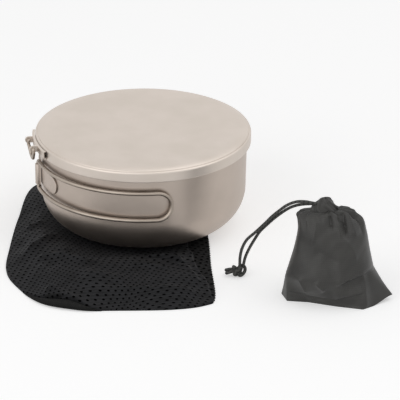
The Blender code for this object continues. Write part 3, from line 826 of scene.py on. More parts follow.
# --- lid ------------------------------------------------------------------------------------------------
@dataclass
class Lid:
    """The pressed cap lid, the strip on its skirt and the hanging loop."""

    top: float = 81.272 * MM
    radius: float = 85.0 * MM
    slope_start: float = 74.5 * MM
    slope_fall: float = 1.5 * MM
    crease: float = 0.5 * MM
    corner: float = 1.7 * MM
    skirt: float = 10.4 * MM
    sheet: float = 0.7 * MM
    strip_gap: float = 0.3 * MM
    strip_sheet: float = 0.6 * MM
    strip_reach: float = math.radians(15.5)
    strip_drop: float = 3.4 * MM
    strip_height: float = 5.6 * MM
    strip_foot: float = 1.2 * MM
    strip_rise: float = 2.1 * MM
    strip_corner: float = 0.7 * MM
    strip_heel: float = 0.3 * MM
    lug_spacing: float = 19.0 * MM
    lug_sheet: float = 1.2 * MM
    lug_radius: float = 2.65 * MM
    loop_radius: float = 90.2 * MM
    loop_drop: float = 5.8 * MM
    loop_wire: float = 1.3 * MM
    loop_low: float = 64.8 * MM
    loop_lean: float = 1.0 * MM
    loop_neck: float = 6.0 * MM
    segments: int = 256

    def profile(self) -> np.ndarray:
        """The turned outline, whose inside is the same line a sheet's thickness inwards.

        A flat top falls away near its edge as a cube, to a shallow crease, a rounded shoulder and a straight
        skirt.

        Returns:
            Points (r, z).
        """
        low = self.top - self.skirt
        shoulder = (self.radius - self.corner, self.top - self.slope_fall - self.crease - self.corner * 0.9)
        slope_end = shoulder[0] - 0.2 * MM
        flat = np.column_stack((np.linspace(0, self.slope_start, 14)[:-1], np.full(13, self.top)))
        r = np.linspace(self.slope_start, slope_end, 24)
        share = (r - self.slope_start) / (slope_end - self.slope_start)
        slope = np.column_stack((r, self.top - self.slope_fall * share**3))
        crease = np.array([(shoulder[0], slope[-1, 1] - self.crease)])
        bend = arc(shoulder, self.corner, 68, 0, 12)
        levels = np.linspace(shoulder[1], low + self.sheet / 2, 10)[1:]
        skirt = np.column_stack((np.full(9, self.radius), levels))
        lip = arc((self.radius - self.sheet / 2, levels[-1]), self.sheet / 2, 0, -180, 8)
        inner = skirt[::-1] - (self.sheet, 0)
        top_inside = np.column_stack((r[::-1], slope[::-1, 1] - self.sheet))
        centre = [(0, self.top - self.sheet)]
        return np.vstack((flat, slope, crease, bend, skirt, lip, inner, top_inside, centre))

    def strip_grid(self) -> np.ndarray:
        """The strip: a hat-shaped section with round corners, carried round the skirt. Its ends are open.

        Returns:
            Points, rows by columns by 3.
        """
        inner = self.radius + self.strip_gap
        top = self.top - self.strip_drop
        bottom = top - self.strip_height
        face = inner + self.strip_rise
        t = self.strip_sheet
        rise, heel = self.strip_corner, self.strip_heel
        outer = np.vstack(
            (
                [(inner, top)],
                arc((face - rise, top - rise), rise, 90, 0, 6),
                arc((face - rise, bottom + rise), rise, 0, -60, 5),
                arc((inner + t + heel, bottom - heel), heel, 120, 180, 4),
                [(inner + t, bottom - self.strip_foot), (inner, bottom - self.strip_foot)],
            )
        )
        hollow = np.vstack(
            (
                [(inner, bottom + t)],
                arc((face - rise, bottom + rise), rise - t / 2, -80, 0, 5),
                arc((face - rise, top - rise), rise - t / 2, 0, 80, 5),
                [(inner, top - t)],
            )
        )
        hollow[1:-1, 0] -= t / 2
        section = np.vstack((outer, hollow))
        turn = np.linspace(-self.strip_reach, self.strip_reach, 40)[:, None]
        return round_axis(turn, section[:, 0] + 0 * turn, section[:, 1] + 0 * turn)

    def lug_grid(self, side: int) -> np.ndarray:
        """A lug: a flat plate with a round nose about the loop's pivot, and eased edges.

        Args:
            side: 1 or -1, for the lug towards -Y or towards +Y.

        Returns:
            Points, rows by columns by 3.
        """
        pivot = (self.loop_radius, self.top - self.loop_drop)
        root = self.radius + self.strip_gap + 0.4 * MM
        nose = arc(pivot, self.lug_radius, 90, -90, 20)
        outline = np.vstack(([(root, nose[0, 1] - 0.3 * MM)], nose, [(root, nose[-1, 1] + 0.3 * MM)]))
        across = np.array([-0.5, -0.42, 0.42, 0.5]) * self.lug_sheet - side * self.lug_spacing / 2
        inset = np.array([0.1, 0.0, 0.0, 0.1]) * MM
        middle = outline.mean(axis=0)
        offset = outline - middle
        scale = 1 - inset[:, None, None] / np.linalg.norm(offset, axis=1)[None, :, None]
        rows = middle + offset * scale
        y = np.broadcast_to(across[:, None], rows.shape[:2])
        return np.stack((-rows[..., 0], y, rows[..., 1]), axis=-1)

    def loop_path(self) -> np.ndarray:
        """The loop's centre line through its corners: turned-in ends, two arms that close to a narrow end.

        Returns:
            The line's points.
        """
        arm_out = self.lug_spacing / 2 + self.lug_sheet / 2 + 0.3 * MM + self.loop_wire
        end = self.lug_spacing / 2 - self.lug_sheet / 2 - 1.0 * MM
        pivot_z = self.top - self.loop_drop
        drop = pivot_z - self.loop_low
        lean, neck = self.loop_lean, self.loop_neck
        arm = np.array(
            [
                (end, 0, 0),
                (arm_out - 0.8 * MM, 0, 0),
                (arm_out - 0.1 * MM, 0, 0.35 * MM),
                (arm_out, lean * 0.06, drop * 0.12),
                (arm_out, lean * 0.22, drop * 0.30),
                ((arm_out + neck) / 2, lean * 0.5, drop * 0.54),
                (neck, lean * 0.8, drop * 0.78),
                (neck * 0.7, lean, drop * 0.95),
                (neck * 0.3, lean, drop),
            ]
        )
        right = np.column_stack((-self.loop_radius + arm[:, 1], -arm[:, 0], pivot_z - arm[:, 2]))
        corners = np.vstack((right, right[::-1] * (1, -1, 1)))
        return even_path(spline(corners, np.linspace(0, len(corners) - 1.001, 300)), 0.35 * MM)

    def build(self) -> None:
        """Make the lid, its strip with the lugs, and its loop."""
        cap = mesh_piece("lid_cap", turned_grid(self.profile(), self.segments))
        hang(cap, Body.LID, TITANIUM, "lid")
        grids = [(self.strip_grid(), None, True)]
        grids += [(self.lug_grid(side), None, True) for side in (1, -1)]
        strip = mesh_of_grids("lid_strip", grids)
        hang(strip, Body.LID, TITANIUM, "lid_bracket")
        points, places = tube_grid(self.loop_path(), self.loop_wire, sides=20)
        loop = mesh_piece("lid_wire_loop", points, places)
        hang(loop, Body.LOOP, WIRE_PAINTED_SHADE, "lid_loop")


# --- mesh stuff sack ------------------------------------------------------------------------------------
@dataclass
class MeshSack:
    """The empty stuff sack under the pot: flat where the pot presses it, loose in front."""

    under_pot: float = 3.0 * MM
    loft: float = 8.5 * MM
    loft_start: float = 60.0 * MM
    loft_end: float = 104.0 * MM
    edge: float = 2.4 * MM
    edge_fall: float = 0.35
    columns: int = 720
    rows: int = 110
    middle: tuple[float, float] = (-0.035, -0.045)
    outline: tuple[tuple[float, float], ...] = (
        (-0.0726, 0.0847),
        (-0.0970, 0.0260),
        (-0.1150, -0.0310),
        (-0.1235, -0.0650),
        (-0.1222, -0.0930),
        (-0.1090, -0.1310),
        (-0.0850, -0.1490),
        (-0.0590, -0.1550),
        (-0.0150, -0.1635),
        (0.0120, -0.1625),
        (0.0235, -0.1510),
        (0.0336, -0.0950),
        (0.0432, -0.0430),
        (0.0475, 0.0130),
        (0.0200, 0.0640),
        (-0.0300, 0.0930),
    )
    hem_middle: float = 28 / 80
    hem_reach: float = 6 / 80
    hem_width: float = 11.0 * MM
    hem_height: float = 4.4 * MM
    lip_rise: float = 5.2 * MM
    strip_drop: float = 4.0 * MM
    strip_lip: float = 1.6 * MM
    # the folds stand this many times higher than their own heights say
    ridge: float = 1.8
    # the small waves of the right edge
    scallop: float = 0.5 * MM
    scallop_spacing: float = 4.2 * MM
    # the lowest that the cloth lies
    least: float = 0.2 * MM
    # a crease inside the mouth, between the hem and the top cloth, whose deepest part is also painted near
    # black as painted shade
    hollow: Fold = Fold((-0.1050, -0.1270), (-0.0935, -0.1350), 0.0045, -0.0032)
    # floor places of the long fold on the right, front to back, in millimetres
    strip: tuple[tuple[float, float], ...] = (
        (-165.0, 20.0),
        (-148.6, 20.3),
        (-132.9, 22.1),
        (-119.5, 21.4),
        (-111.5, 18.9),
        (-98.1, 18.8),
        (-76.4, 22.5),
        (-68.5, 21.1),
        (-40.0, 25.0),
    )
    folds: tuple[Fold, ...] = (
        Fold((-0.0155, -0.0842), (-0.0040, -0.0930), 0.0026, 0.0024, crisp=True, one_sided=True),
        Fold((-0.0050, -0.0920), (0.0080, -0.1040), 0.0030, 0.0026, crisp=True, one_sided=True),
        Fold((-0.0335, -0.1032), (-0.0049, -0.1190), 0.0036, 0.0022, 0.0020, crisp=True),
        Fold((-0.0629, -0.1330), (0.0116, -0.1484), 0.0050, 0.0024, -0.0020),
        Fold((-0.0400, -0.1500), (0.0050, -0.1560), 0.0030, 0.0012, crisp=True),
        Fold((-0.0743, -0.0213), (-0.1072, -0.0578), 0.0034, 0.0024, 0.0020, crisp=True),
        Fold((-0.0805, 0.0030), (-0.0953, -0.0058), 0.0030, 0.0020, crisp=True),
        Fold((-0.0980, -0.0700), (-0.0640, -0.0900), 0.0050, 0.0020, 0.0040),
        Fold((-0.1115, -0.1293), (-0.0980, -0.1185), 0.0026, 0.0020, crisp=True),
        Fold((-0.0980, -0.1185), (-0.0913, -0.1318), 0.0026, 0.0020, crisp=True),
        Fold((-0.0913, -0.1318), (-0.0890, -0.1574), 0.0026, 0.0018, crisp=True),
        Fold((-0.0700, -0.1080), (-0.0420, -0.1240), 0.0070, 0.0018),
        Fold((0.0060, -0.1080), (0.0140, -0.1360), 0.0040, 0.0018, 0.0015, crisp=True),
    )

    def rim(self, share: np.ndarray) -> np.ndarray:
        """Points of the smooth outline, at shares of the way round it."""
        return spline(self.outline, share * len(self.outline), closed=True)

    def hem_depth(self, share: np.ndarray) -> np.ndarray:
        """How far in the mouth's hem reaches: its width times cos^2, nothing away from the mouth."""
        away = np.clip(np.abs(share - self.hem_middle) / self.hem_reach, 0.0, 1.0)
        return self.hem_width * np.cos(away * math.pi / 2) ** 2

    def height(self, x: np.ndarray, y: np.ndarray, reach: np.ndarray, hem: np.ndarray) -> np.ndarray:
        """Height of the top cloth: pressed under the pot, loose beyond it, falling to a thin edge.

        Args:
            x: Floor place of each point.
            y: Floor place of each point.
            reach: Share of the way from the sack's middle to its outline.
            hem: Share of the hem's full depth at each column.

        Returns:
            The height of each point.
        """
        from_pot = smooth_step((np.hypot(x, y) - self.loft_start) / (self.loft_end - self.loft_start))
        inward = smooth_step((1 - reach) / self.edge_fall)
        edge = self.edge + self.lip_rise * hem
        full = self.under_pot - 0.1 * MM + self.loft * from_pot
        ridges = sum(fold.rise(x, y) for fold in self.folds)
        ripple = waves(x, y, 0.036, 5) * 0.9 * MM + waves(x, y, 0.014, 8) * 0.30 * MM
        loose = from_pot * smooth_step((1 - reach) / 0.10)
        line = self.strip_line(y)
        front = smooth_step((-0.040 - y) / 0.02)
        beyond = smooth_step((x - line + 0.4 * MM) / (1.2 * MM)) * front
        lip = np.exp(-(((x - line + 1.6 * MM) / (2.2 * MM)) ** 2)) * front
        flat_edge = np.sqrt(np.clip(1 - ((reach - 0.985) / 0.015).clip(0, 1) ** 2, 0, 1))
        relief = self.ridge * ridges + ripple + self.strip_lip * lip + self.hollow.rise(x, y)
        top = edge + (full - edge) * inward + relief * loose
        return (top - np.minimum(self.strip_drop, 0.6 * top) * beyond) * flat_edge

    def strip_line(self, y: np.ndarray) -> np.ndarray:
        """Where the long fold on the right runs at each y."""
        return np.interp(y, *(np.array(self.strip).T * MM))

    def hem_grid(self) -> tuple[np.ndarray, np.ndarray]:
        """The rolled hem of the mouth: a flattened roll along the outline that runs out at both ends.

        Returns:
            Its points, and their texture places in metres.
        """
        count = 140
        share = self.hem_middle + self.hem_reach * np.linspace(-1, 1, count) * (1 - 1e-4)
        rim = self.rim(share)
        inward = np.array(self.middle) - rim
        inward /= np.linalg.norm(inward, axis=1, keepdims=True)
        depth = self.hem_depth(share)[:, None]
        height = (self.edge + (self.hem_height - self.edge) * depth / self.hem_width) * np.sqrt(
            np.clip(depth / (1.2 * MM), 0.0, 1.0)
        )
        turn = np.linspace(0, math.tau, 30, endpoint=False)
        c, s = np.cos(turn), np.sin(turn)
        size = rounded_square(c, s, 2.6)
        wrinkle = 1 + 0.05 * np.sin(np.linspace(0, 26, count))[:, None] * (s > 0)
        across = depth / 2 * (1 + size * c)
        z = 0.15 * MM + height / 2 * (1 + size * s * wrinkle)
        place = rim[:, None] + inward[:, None] * across[..., None]
        grid = np.concatenate((place, z[..., None]), axis=-1)
        along = lengths_along(rim)
        round_it = np.linspace(0, 1, 31) * 2 * (self.hem_width + self.hem_height) * 0.8
        uv = np.stack(np.broadcast_arrays(along[:, None], round_it[None]), axis=-1)
        return grid, uv

    def build(self) -> None:
        """Make the sack's cloth and the hem of its mouth."""
        share = np.arange(self.columns) / self.columns
        rim = self.rim(share)
        middle = np.array(self.middle)
        depth = self.hem_depth(share)[:, None]
        spokes = rim - middle
        size = np.linalg.norm(spokes, axis=1, keepdims=True)
        right = smooth_step((rim[:, :1] - 0.015) / 0.01) * smooth_step((0.02 - rim[:, 1:]) / 0.02)
        scallop = self.scallop * (1 - np.cos(rim[:, 1:] * math.tau / self.scallop_spacing)) * right
        spokes = spokes * (1 - (depth + 0.3 * MM * (depth > 0) + scallop) / size)
        reach = np.concatenate(([0.0, 0.6, 0.985], 1 - np.linspace(0, 1, self.rows) ** 1.3))[:, None, None]
        floor = middle + spokes * reach
        x, y = floor[..., 0], floor[..., 1]
        z = self.height(x, y, reach[..., 0] + 0 * x, depth[:, 0] / self.hem_width + 0 * x)
        z[:3] = self.least
        z = np.maximum(z, self.least)
        grid = np.stack((x, y, z), axis=-1)
        bend = np.stack((waves(x, y, 0.07, 11), waves(x, y, 0.07, 12)), axis=-1) * 3.2 * MM
        finer = np.stack((-1.4 * x**2, -0.5 * x * y), axis=-1)
        uv = floor + finer + bend + np.stack((0.2 * z, z), axis=-1)
        cloth = mesh_piece("mesh_sack", grid, np.concatenate((uv, uv[:, :1]), axis=1), sharp=CLOTH_EDGE)
        hang(cloth, Body.SACK, MESH_CLOTH, "mesh_bag")
        cloth.data.materials.append(MESH_PAINTED_SHADE.material())
        centres = np.empty(len(cloth.data.polygons) * 3)
        cloth.data.polygons.foreach_get("center", centres)
        centres = centres.reshape(-1, 3)
        # painted shade: the lower cloth beyond the long fold on the right and the deepest part of the mouth's
        # crease get the near-black copy of the mesh
        under = (centres[:, 0] > self.strip_line(centres[:, 1])) & (centres[:, 1] < -0.045)
        under |= self.hollow.rise(centres[:, 0], centres[:, 1]) < 0.45 * self.hollow.height
        cloth.data.polygons.foreach_set("material_index", under.astype(np.int32))
        points, places = self.hem_grid()
        hem = mesh_piece("mesh_sack_hem", points, places, caps=True, sharp=CLOTH_EDGE)
        hang(hem, Body.SACK, HEM_TAPE, "mesh_bag_hem")


# --- drawstring pouch -----------------------------------------------------------------------------------
@dataclass
class Pouch:
    """The filled drawstring pouch, its gathered hem, and its doubled drawcord with the knot."""

    place: tuple[float, float] = (0.1109, -0.1642)
    turn: float = math.radians(-13.0)
    columns: int = 240
    rows: int = 150
    # the CAD source's own base, and its sections with fuller shoulders
    base_corners: tuple[tuple[float, float], ...] = (
        (0.0465, -0.0090),
        (0.0330, 0.0090),
        (0.0080, 0.0170),
        (-0.0180, 0.0160),
        (-0.0384, 0.0028),
        (-0.0341, -0.0113),
        (-0.0182, -0.0135),
        (0.0028, -0.0210),
        (0.0231, -0.0265),
    )
    base_fade: float = 24.0 * MM
    # the base's right corner stands off the floor
    tip_lift: float = 4.2 * MM
    tip_start: float = 30 * MM
    tip_run: float = 15 * MM
    # the folds push the cloth out this many times further than their own heights say
    fold_gain: float = 1.15
    # height, middle across, half width and half depth of the hem, in millimetres
    hem_sections: tuple[tuple[float, float, float, float], ...] = (
        (70.2, -6.4, 10.6, 6.2),
        (74.0, -6.2, 9.0, 5.6),
        (76.6, -6.1, 6.8, 5.2),
        (78.4, -5.9, 4.9, 4.4),
        (79.8, -5.8, 3.9, 3.6),
        (80.8, -5.8, 2.4, 2.2),
        (81.2, -5.8, 0.01, 0.01),
    )
    # height, middle and half width across, middle and half depth, squareness
    sections: tuple[tuple[float, float, float, float, float, float], ...] = (
        (0.0000, -0.0010, 0.0345, -0.0010, 0.0225, 1.9),
        (0.0050, -0.0010, 0.0345, -0.0010, 0.0236, 1.9),
        (0.0110, -0.0010, 0.0345, -0.0015, 0.0245, 2.0),
        (0.0180, -0.0010, 0.0340, -0.0018, 0.0246, 2.0),
        (0.0240, -0.0008, 0.0326, -0.0014, 0.0242, 2.1),
        (0.0384, -0.0002, 0.0290, 0.0000, 0.0220, 2.2),
        (0.0526, -0.0001, 0.0264, 0.0000, 0.0180, 2.3),
        (0.0626, -0.0014, 0.0246, 0.0000, 0.0138, 2.3),
        (0.0674, -0.0042, 0.0222, 0.0000, 0.0108, 2.2),
        (0.0702, -0.0040, 0.0195, 0.0000, 0.0086, 2.1),
        (0.0716, -0.0034, 0.0125, 0.0000, 0.0070, 2.0),
    )
    folds: tuple[Fold, ...] = (
        Fold((0.0035, 0.0215), (0.0340, 0.0300), 0.0160, 0.0030, 0.0012, one_sided=True),
        Fold((0.0020, 0.0068), (0.0225, 0.0135), 0.0080, 0.0020, 0.0006, one_sided=True),
        Fold((0.0080, 0.0180), (0.0300, 0.0225), 0.0060, -0.0034),
        Fold((0.0231, 0.0281), (0.0266, 0.0010), 0.0030, 0.0026, crisp=True),
        Fold((0.0320, 0.0285), (0.0457, 0.0106), 0.0030, 0.0018, crisp=True),
        Fold((-0.0262, 0.0228), (-0.0200, 0.0095), 0.0026, 0.0022, crisp=True),
        Fold((-0.0134, 0.0216), (-0.0062, 0.0139), 0.0024, 0.0018, crisp=True),
        Fold((-0.0126, 0.0455), (0.0033, 0.0369), 0.0030, -0.0016, crisp=True),
        Fold((0.0070, 0.0560), (0.0180, 0.0380), 0.0036, 0.0018, 0.0020, crisp=True),
        Fold((-0.0230, 0.0650), (-0.0310, 0.0250), 0.0034, 0.0016, crisp=True),
        Fold((-0.0120, 0.0680), (-0.0160, 0.0500), 0.0024, 0.0016, crisp=True),
        Fold((-0.0027, 0.0725), (-0.0010, 0.0600), 0.0024, -0.0030, crisp=True),
        Fold((0.0020, 0.0720), (0.0060, 0.0560), 0.0022, 0.0018, crisp=True),
        Fold((0.0071, 0.0714), (0.0110, 0.0540), 0.0020, -0.0026, crisp=True),
        Fold((0.0110, 0.0720), (0.0180, 0.0560), 0.0022, 0.0020, crisp=True),
        Fold((0.0170, 0.0700), (0.0230, 0.0540), 0.0018, -0.0020, crisp=True),
        Fold((-0.0349, 0.0073), (0.0017, 0.0060), 0.0009, -0.0007, crisp=True),
        Fold((0.0017, 0.0060), (0.0175, 0.0100), 0.0009, -0.0007, crisp=True),
    )

    def world(self, local: np.ndarray) -> np.ndarray:
        """Points of the pouch's own frame, turned about Z and moved to its place.

        Args:
            local: The points.

        Returns:
            The moved points.
        """
        c, s = math.cos(self.turn), math.sin(self.turn)
        x = self.place[0] + local[..., 0] * c - local[..., 1] * s
        y = self.place[1] + local[..., 0] * s + local[..., 1] * c
        return np.stack((x, y, local[..., 2]), axis=-1)

    def base_reach(self, turn: np.ndarray) -> np.ndarray:
        """The base outline's distance from its middle at each direction, its sides straight.

        Args:
            turn: The directions, as angles from +X.

        Returns:
            The distances.
        """
        corners = np.array((*self.base_corners, self.base_corners[0]))
        places = np.linspace(0, len(corners) - 1, 900)
        outline = np.column_stack([np.interp(places, np.arange(len(corners)), corners[:, k]) for k in (0, 1)])
        angle = np.arctan2(outline[:, 1], outline[:, 0])
        order = np.argsort(angle)
        return np.interp(turn, angle[order], np.hypot(outline[:, 0], outline[:, 1])[order], period=math.tau)

    def body_grid(self) -> np.ndarray:
        """The pouch's cloth: rounded sections that change with height.

        They are drawn out to the corners of the base close to the floor, with folds on the front and pleats
        that gather towards the neck.

        Returns:
            Points, rows by columns by 3.
        """
        table = np.array(self.sections)
        level = spline(table, np.linspace(0, len(table) - 1.001, self.rows))
        level[:, 0] = np.maximum(level[:, 0], 0.0)
        turn = np.linspace(0, math.tau, self.columns, endpoint=False)
        c, s = np.cos(turn), np.sin(turn)
        z, middle_x, half_x, middle_y, half_y, square = (level[:, i : i + 1] for i in range(6))
        size = rounded_square(c, s, square)
        x = middle_x + half_x * size * c
        y = middle_y + half_y * size * s
        corners = np.clip(1 - z / self.base_fade, 0.0, 1.0) ** (1.15 - 0.3 * c)
        soften = 0.01 + 0.16 * np.clip(z / self.base_fade, 0.0, 1.0)
        reach = sum(self.base_reach(turn + k * soften / 2) for k in range(-2, 3)) / 5
        x = x + (reach * c - x) * corners
        y = y + (reach * s - y) * corners
        tip = smooth_step((x - self.tip_start) / self.tip_run)
        z = z + self.tip_lift * tip * corners
        outward = np.clip(-s * 1.6, 0, 1) ** 0.7 * (s < 0)
        y = y - self.fold_gain * self.push(x, z + 0 * x) * outward * smooth_step(z / (2.5 * MM))
        rear = waves(x * 1.3, z + 0 * x + y, 0.022, 9) * 0.9 * MM * np.clip(s, 0, 1)
        y = y + rear * smooth_step(z / (6 * MM))
        gather = smooth_step((z - 54 * MM) / (18 * MM))
        lobe = np.abs(np.sin(5.5 * turn + 0.7 * np.sin(2 * turn) + 0.4)) - 0.64
        pleat = 1 + gather * (0.12 * lobe + 0.02 * np.sin(19 * turn + 1))
        x, y = x * pleat, y * pleat
        z = z + 2.6 * MM * lobe * gather * np.clip(c + 0.5, 0.0, 1.0)
        closed = np.stack((x, y, z + 0 * x), axis=-1)
        floor = np.broadcast_to(np.array([4 * MM, -2 * MM, 0.0]), closed[:1].shape)
        under = closed[:1] * (0.5, 0.5, 1.0)
        top = np.broadcast_to(np.array([-3 * MM, 0, 70.6 * MM]), closed[:1].shape)
        return np.concatenate((floor, under, closed, top))

    def push(self, x: np.ndarray, z: np.ndarray) -> np.ndarray:
        """How far the folds push the front cloth out, from the face's own across and up places."""
        ridges = sum(fold.rise(x, z) for fold in self.folds)
        return ridges + waves(x, z, 0.026, 3) * 0.5 * MM + waves(x, z, 0.009, 4) * 0.16 * MM

    def hem_grid(self) -> np.ndarray:
        """The hem above the neck: a tube of cloth drawn together, twisted and pleated, with a closed top.

        Returns:
            Points, rows by columns by 3.
        """
        table = np.array(self.hem_sections)
        level = spline(table, np.linspace(0, len(table) - 1.001, 50)) * MM
        turn = np.linspace(0, math.tau, 120, endpoint=False)
        z, middle, half_x, half_y = (level[:, i : i + 1] for i in range(4))
        up = (z - table[0, 0] * MM) / (8.5 * MM)
        pleat = 1 + (0.11 * np.sin(6 * turn + 5 * up) + 0.05 * np.sin(13 * turn + 9 * up)) * (0.5 + 0.5 * up)
        x = middle + half_x * pleat * np.cos(turn)
        y = half_y * pleat * np.sin(turn)
        return np.stack((x, y, z + 0.5 * MM * np.sin(2 * turn + 1) * up + 0 * x), axis=-1)

    def cloth_uv(self, grid: np.ndarray) -> np.ndarray:
        """Texture places in metres: the distance round each row from its start, and up from the floor.

        Args:
            grid: Points, rows by columns by 3.

        Returns:
            The places, rows by columns + 1 by 2.
        """
        ring = np.concatenate((grid, grid[:, :1]), axis=1)
        steps = np.linalg.norm(np.diff(ring, axis=1), axis=2)
        along = np.concatenate((np.zeros((len(grid), 1)), np.cumsum(steps, axis=1)), axis=1)
        return np.stack((along, ring[..., 2] * 1.1), axis=-1)

    def build(self) -> None:
        """Make the pouch, its hem, the cord's two strands and the knot."""
        grid = self.body_grid()
        body = mesh_piece("pouch_cloth", self.world(grid), self.cloth_uv(grid), sharp=CLOTH_EDGE)
        hang(body, Body.POUCH, NYLON, "pouch_body")
        rim = self.hem_grid()
        hem = mesh_piece("pouch_gather", self.world(rim), self.cloth_uv(rim), caps=True, sharp=CLOTH_EDGE)
        hang(hem, Body.POUCH, NYLON, "pouch_hem")
        Drawcord().build()


@dataclass
class Drawcord:
    """The pouch's drawcord: two strands from the hem to one knot with two short tails."""

    radius: float = 1.15 * MM
    knot_at: tuple[float, float, float] = (0.0497, -0.1164, 0.0047)
    knot_size: tuple[float, float, float] = (0.0064, 0.0048, 0.0045)
    tail_routes: tuple[tuple[tuple[float, float, float], ...], ...] = (
        ((0.0470, -0.1160, 0.0050), (0.0436, -0.1156, 0.0040), (0.0404, -0.1150, 0.0030)),
        ((0.0470, -0.1146, 0.0054), (0.0438, -0.1130, 0.0050), (0.0408, -0.1117, 0.0041)),
    )
    # the CAD source's own routes
    front: tuple[tuple[float, float, float], ...] = (
        (0.0991, -0.1630, 0.0767),
        (0.0952, -0.1621, 0.0775),
        (0.0901, -0.1597, 0.0780),
        (0.0843, -0.1562, 0.0768),
        (0.0786, -0.1523, 0.0731),
        (0.0736, -0.1486, 0.0676),
        (0.0687, -0.1446, 0.0612),
        (0.0639, -0.1403, 0.0536),
        (0.0582, -0.1347, 0.0447),
        (0.0530, -0.1288, 0.0363),
        (0.0505, -0.1238, 0.0272),
        (0.0499, -0.1197, 0.0180),
        (0.0501, -0.1177, 0.0094),
    )
    rear: tuple[tuple[float, float, float], ...] = (
        (0.0997, -0.1601, 0.0755),
        (0.0958, -0.1590, 0.0753),
        (0.0905, -0.1564, 0.0744),
        (0.0854, -0.1532, 0.0725),
        (0.0802, -0.1497, 0.0690),
        (0.0749, -0.1461, 0.0637),
        (0.0698, -0.1419, 0.0573),
        (0.0657, -0.1374, 0.0507),
        (0.0619, -0.1327, 0.0437),
        (0.0589, -0.1284, 0.0354),
        (0.0561, -0.1236, 0.0262),
        (0.0541, -0.1192, 0.0170),
        (0.0531, -0.1170, 0.0091),
    )

    def strand(self, route: Sequence[Sequence[float]]) -> np.ndarray:
        """A strand's centre line: the smooth curve through its route, in even steps."""
        return even_path(spline(route, np.linspace(0, len(route) - 1.001, 400)), 0.8 * MM)

    def knot_path(self) -> np.ndarray:
        """The knot's loops: a curve that winds twice round while it crosses itself three times.

        Its distance from the middle is 0.58 + 0.36 cos 1.5t of the knot's size, and it rises and falls
        with sin 1.5t.

        Returns:
            The line's points.
        """
        t = np.linspace(0, 2 * math.tau, 220)
        swing = 0.58 + 0.36 * np.cos(1.5 * t)
        size = np.array(self.knot_size) - self.radius
        loops = np.column_stack((swing * np.cos(t), swing * np.sin(t), np.sin(1.5 * t + 0.4)))
        return np.array(self.knot_at) + loops * size

    def tails(self) -> list[np.ndarray]:
        """The centre lines of the two short ends that leave the knot and lie on the floor."""
        places = np.linspace(0, 1.999, 30)
        return [even_path(spline(route, places), 0.5 * MM) for route in self.tail_routes]

    def build(self) -> None:
        """Make the strands, and the knot with its tails."""
        grids = []
        for path in (self.knot_path(), *self.tails()):
            points, places = tube_grid(path, self.radius * 1.15, sides=14)
            grids.append((points, places, False))
        knot = mesh_of_grids("drawcord_knot_tied", grids, sharp=CLOTH_EDGE)
        hang(knot, Body.POUCH, CORD, "drawcord_knot")
        for name, node, route, held in (
            ("drawcord_front", "drawcord_strand_a", self.front, [knot]),
            ("drawcord_rear", "drawcord_strand_b", self.rear, []),
        ):
            path = self.strand(route)
            points, places = tube_grid(path, self.radius, sides=16)
            strand = mesh_piece(name, points, places, sharp=CLOTH_EDGE)
            hang(strand, Body.POUCH, CORD, node)


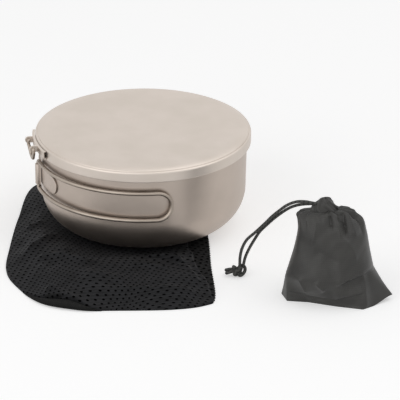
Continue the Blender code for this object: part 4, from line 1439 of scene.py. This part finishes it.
# --- studio ---------------------------------------------------------------------------------------------
@dataclass
class Studio:
    """The camera at the photograph's angle, soft lamps, a white room and a white floor."""

    azimuth: float = math.radians(-13.0)
    elevation: float = math.radians(24.2)
    distance: float = 3.0
    per_pixel: float = 0.000787
    aim_pixel: tuple[float, float] = (143.2, 127.2)
    aim: tuple[float, float, float] = (0.0, 0.0, 0.081272)
    sensor: float = 36.0
    lit: tuple[float, float, float] = (0.03, -0.05, 0.03)
    room_tone: float = 0.40
    floor_tone: float = 0.86
    floor_glow: float = 0.42
    floor_half: float = 6.0

    def camera(self) -> None:
        """Place the camera so that the aim point falls on its pixel."""
        a, e = self.azimuth, self.elevation
        back = Vector((math.sin(a) * math.cos(e), -math.cos(a) * math.cos(e), math.sin(e)))
        right = Vector((math.cos(a), math.sin(a), 0))
        up = back.cross(right)
        half = IMAGE_SIDE / 2
        target = Vector(self.aim)
        target += right * (half - self.aim_pixel[0]) * self.per_pixel
        target -= up * (half - self.aim_pixel[1]) * self.per_pixel
        data = bpy.data.cameras.new("camera")
        data.sensor_width = self.sensor
        data.lens = self.sensor * self.distance / (IMAGE_SIDE * self.per_pixel)
        camera = add_object("camera", data)
        camera.location = target + back * self.distance
        camera.rotation_euler = (-back).to_track_quat("-Z", "Y").to_euler()
        bpy.context.scene.camera = camera

    def lamp(self, name: str, place: tuple[float, float, float], size: float, watts: float) -> None:
        """A square soft lamp that faces the set.

        Args:
            name: The lamp's name.
            place: Where it hangs.
            size: Its side.
            watts: Its power.
        """
        data = bpy.data.lights.new(name, "AREA")
        data.shape = "SQUARE"
        data.size = size
        data.energy = watts
        lamp = add_object(name, data)
        lamp.location = place
        facing = Vector(self.lit) - Vector(place)
        lamp.rotation_euler = facing.to_track_quat("-Z", "Y").to_euler()

    def seen_white(self, tree: bpy.types.NodeTree) -> bpy.types.NodeSocket:
        """1 for a ray from the camera, from gloss or through glass, and 0 for the light on surfaces.

        Args:
            tree: The node tree that asks.

        Returns:
            The socket that gives it.
        """
        path = add_node(tree, "ShaderNodeLightPath")
        seen = {0: path.outputs["Is Camera Ray"], 1: path.outputs["Is Glossy Ray"]}
        first = add_node(tree, "ShaderNodeMath", seen, operation="ADD")
        seen = {0: first.outputs[0], 1: path.outputs["Is Transmission Ray"]}
        return add_node(tree, "ShaderNodeMath", seen, operation="ADD", use_clamp=True).outputs[0]

    def room(self) -> None:
        """A world that is white to see and softer as light, and a white floor that keeps the shadow."""
        world = bpy.data.worlds.new("room")
        world.use_nodes = True
        tree = world.node_tree
        tree.nodes.clear()
        tones = {0: self.seen_white(tree), 6: (*[self.room_tone] * 3, 1), 7: (1, 1, 1, 1)}
        colour = add_node(tree, "ShaderNodeMix", tones, data_type="RGBA")
        light = add_node(tree, "ShaderNodeBackground", {"Color": colour.outputs[2]})
        add_node(tree, "ShaderNodeOutputWorld", {"Surface": light.outputs[0]})
        bpy.context.scene.world = world
        side = self.floor_half
        data = bpy.data.meshes.new("floor")
        corners = [(-side, -side, 0), (side, -side, 0), (side, side, 0), (-side, side, 0)]
        data.from_pydata(corners, [], [(0, 1, 2, 3)])
        floor = add_object("floor", data)
        paint = bpy.data.materials.new("floor")
        paint.use_nodes = True
        nodes = paint.node_tree
        nodes.nodes.clear()
        matt = add_node(nodes, "ShaderNodeBsdfDiffuse", {"Color": (*[self.floor_tone] * 3, 1)})
        seen = {0: self.seen_white(nodes), 1: self.floor_glow}
        strength = add_node(nodes, "ShaderNodeMath", seen, operation="MULTIPLY")
        glow = add_node(nodes, "ShaderNodeEmission", {"Strength": strength.outputs[0]})
        both = add_node(nodes, "ShaderNodeAddShader", {0: matt.outputs[0], 1: glow.outputs[0]})
        add_node(nodes, "ShaderNodeOutputMaterial", {"Surface": both.outputs[0]})
        data.materials.append(paint)

    def build(self) -> None:
        """Make the camera, the lamps and the room."""
        self.camera()
        self.lamp("left", (-1.6, -1.1, 1.0), 2.2, 12.0)
        self.lamp("right", (1.1, -0.3, 2.1), 2.4, 12.5)
        self.room()
        bpy.context.scene.view_settings.view_transform = "Standard"


def main() -> None:
    """Build the set."""
    logging.basicConfig(level=logging.INFO, format="%(name)s: %(message)s")
    for part in (Studio(), Pouch(), Pot(), Lid(), MeshSack()):
        part.build()


if __name__ == "__main__":
    main()
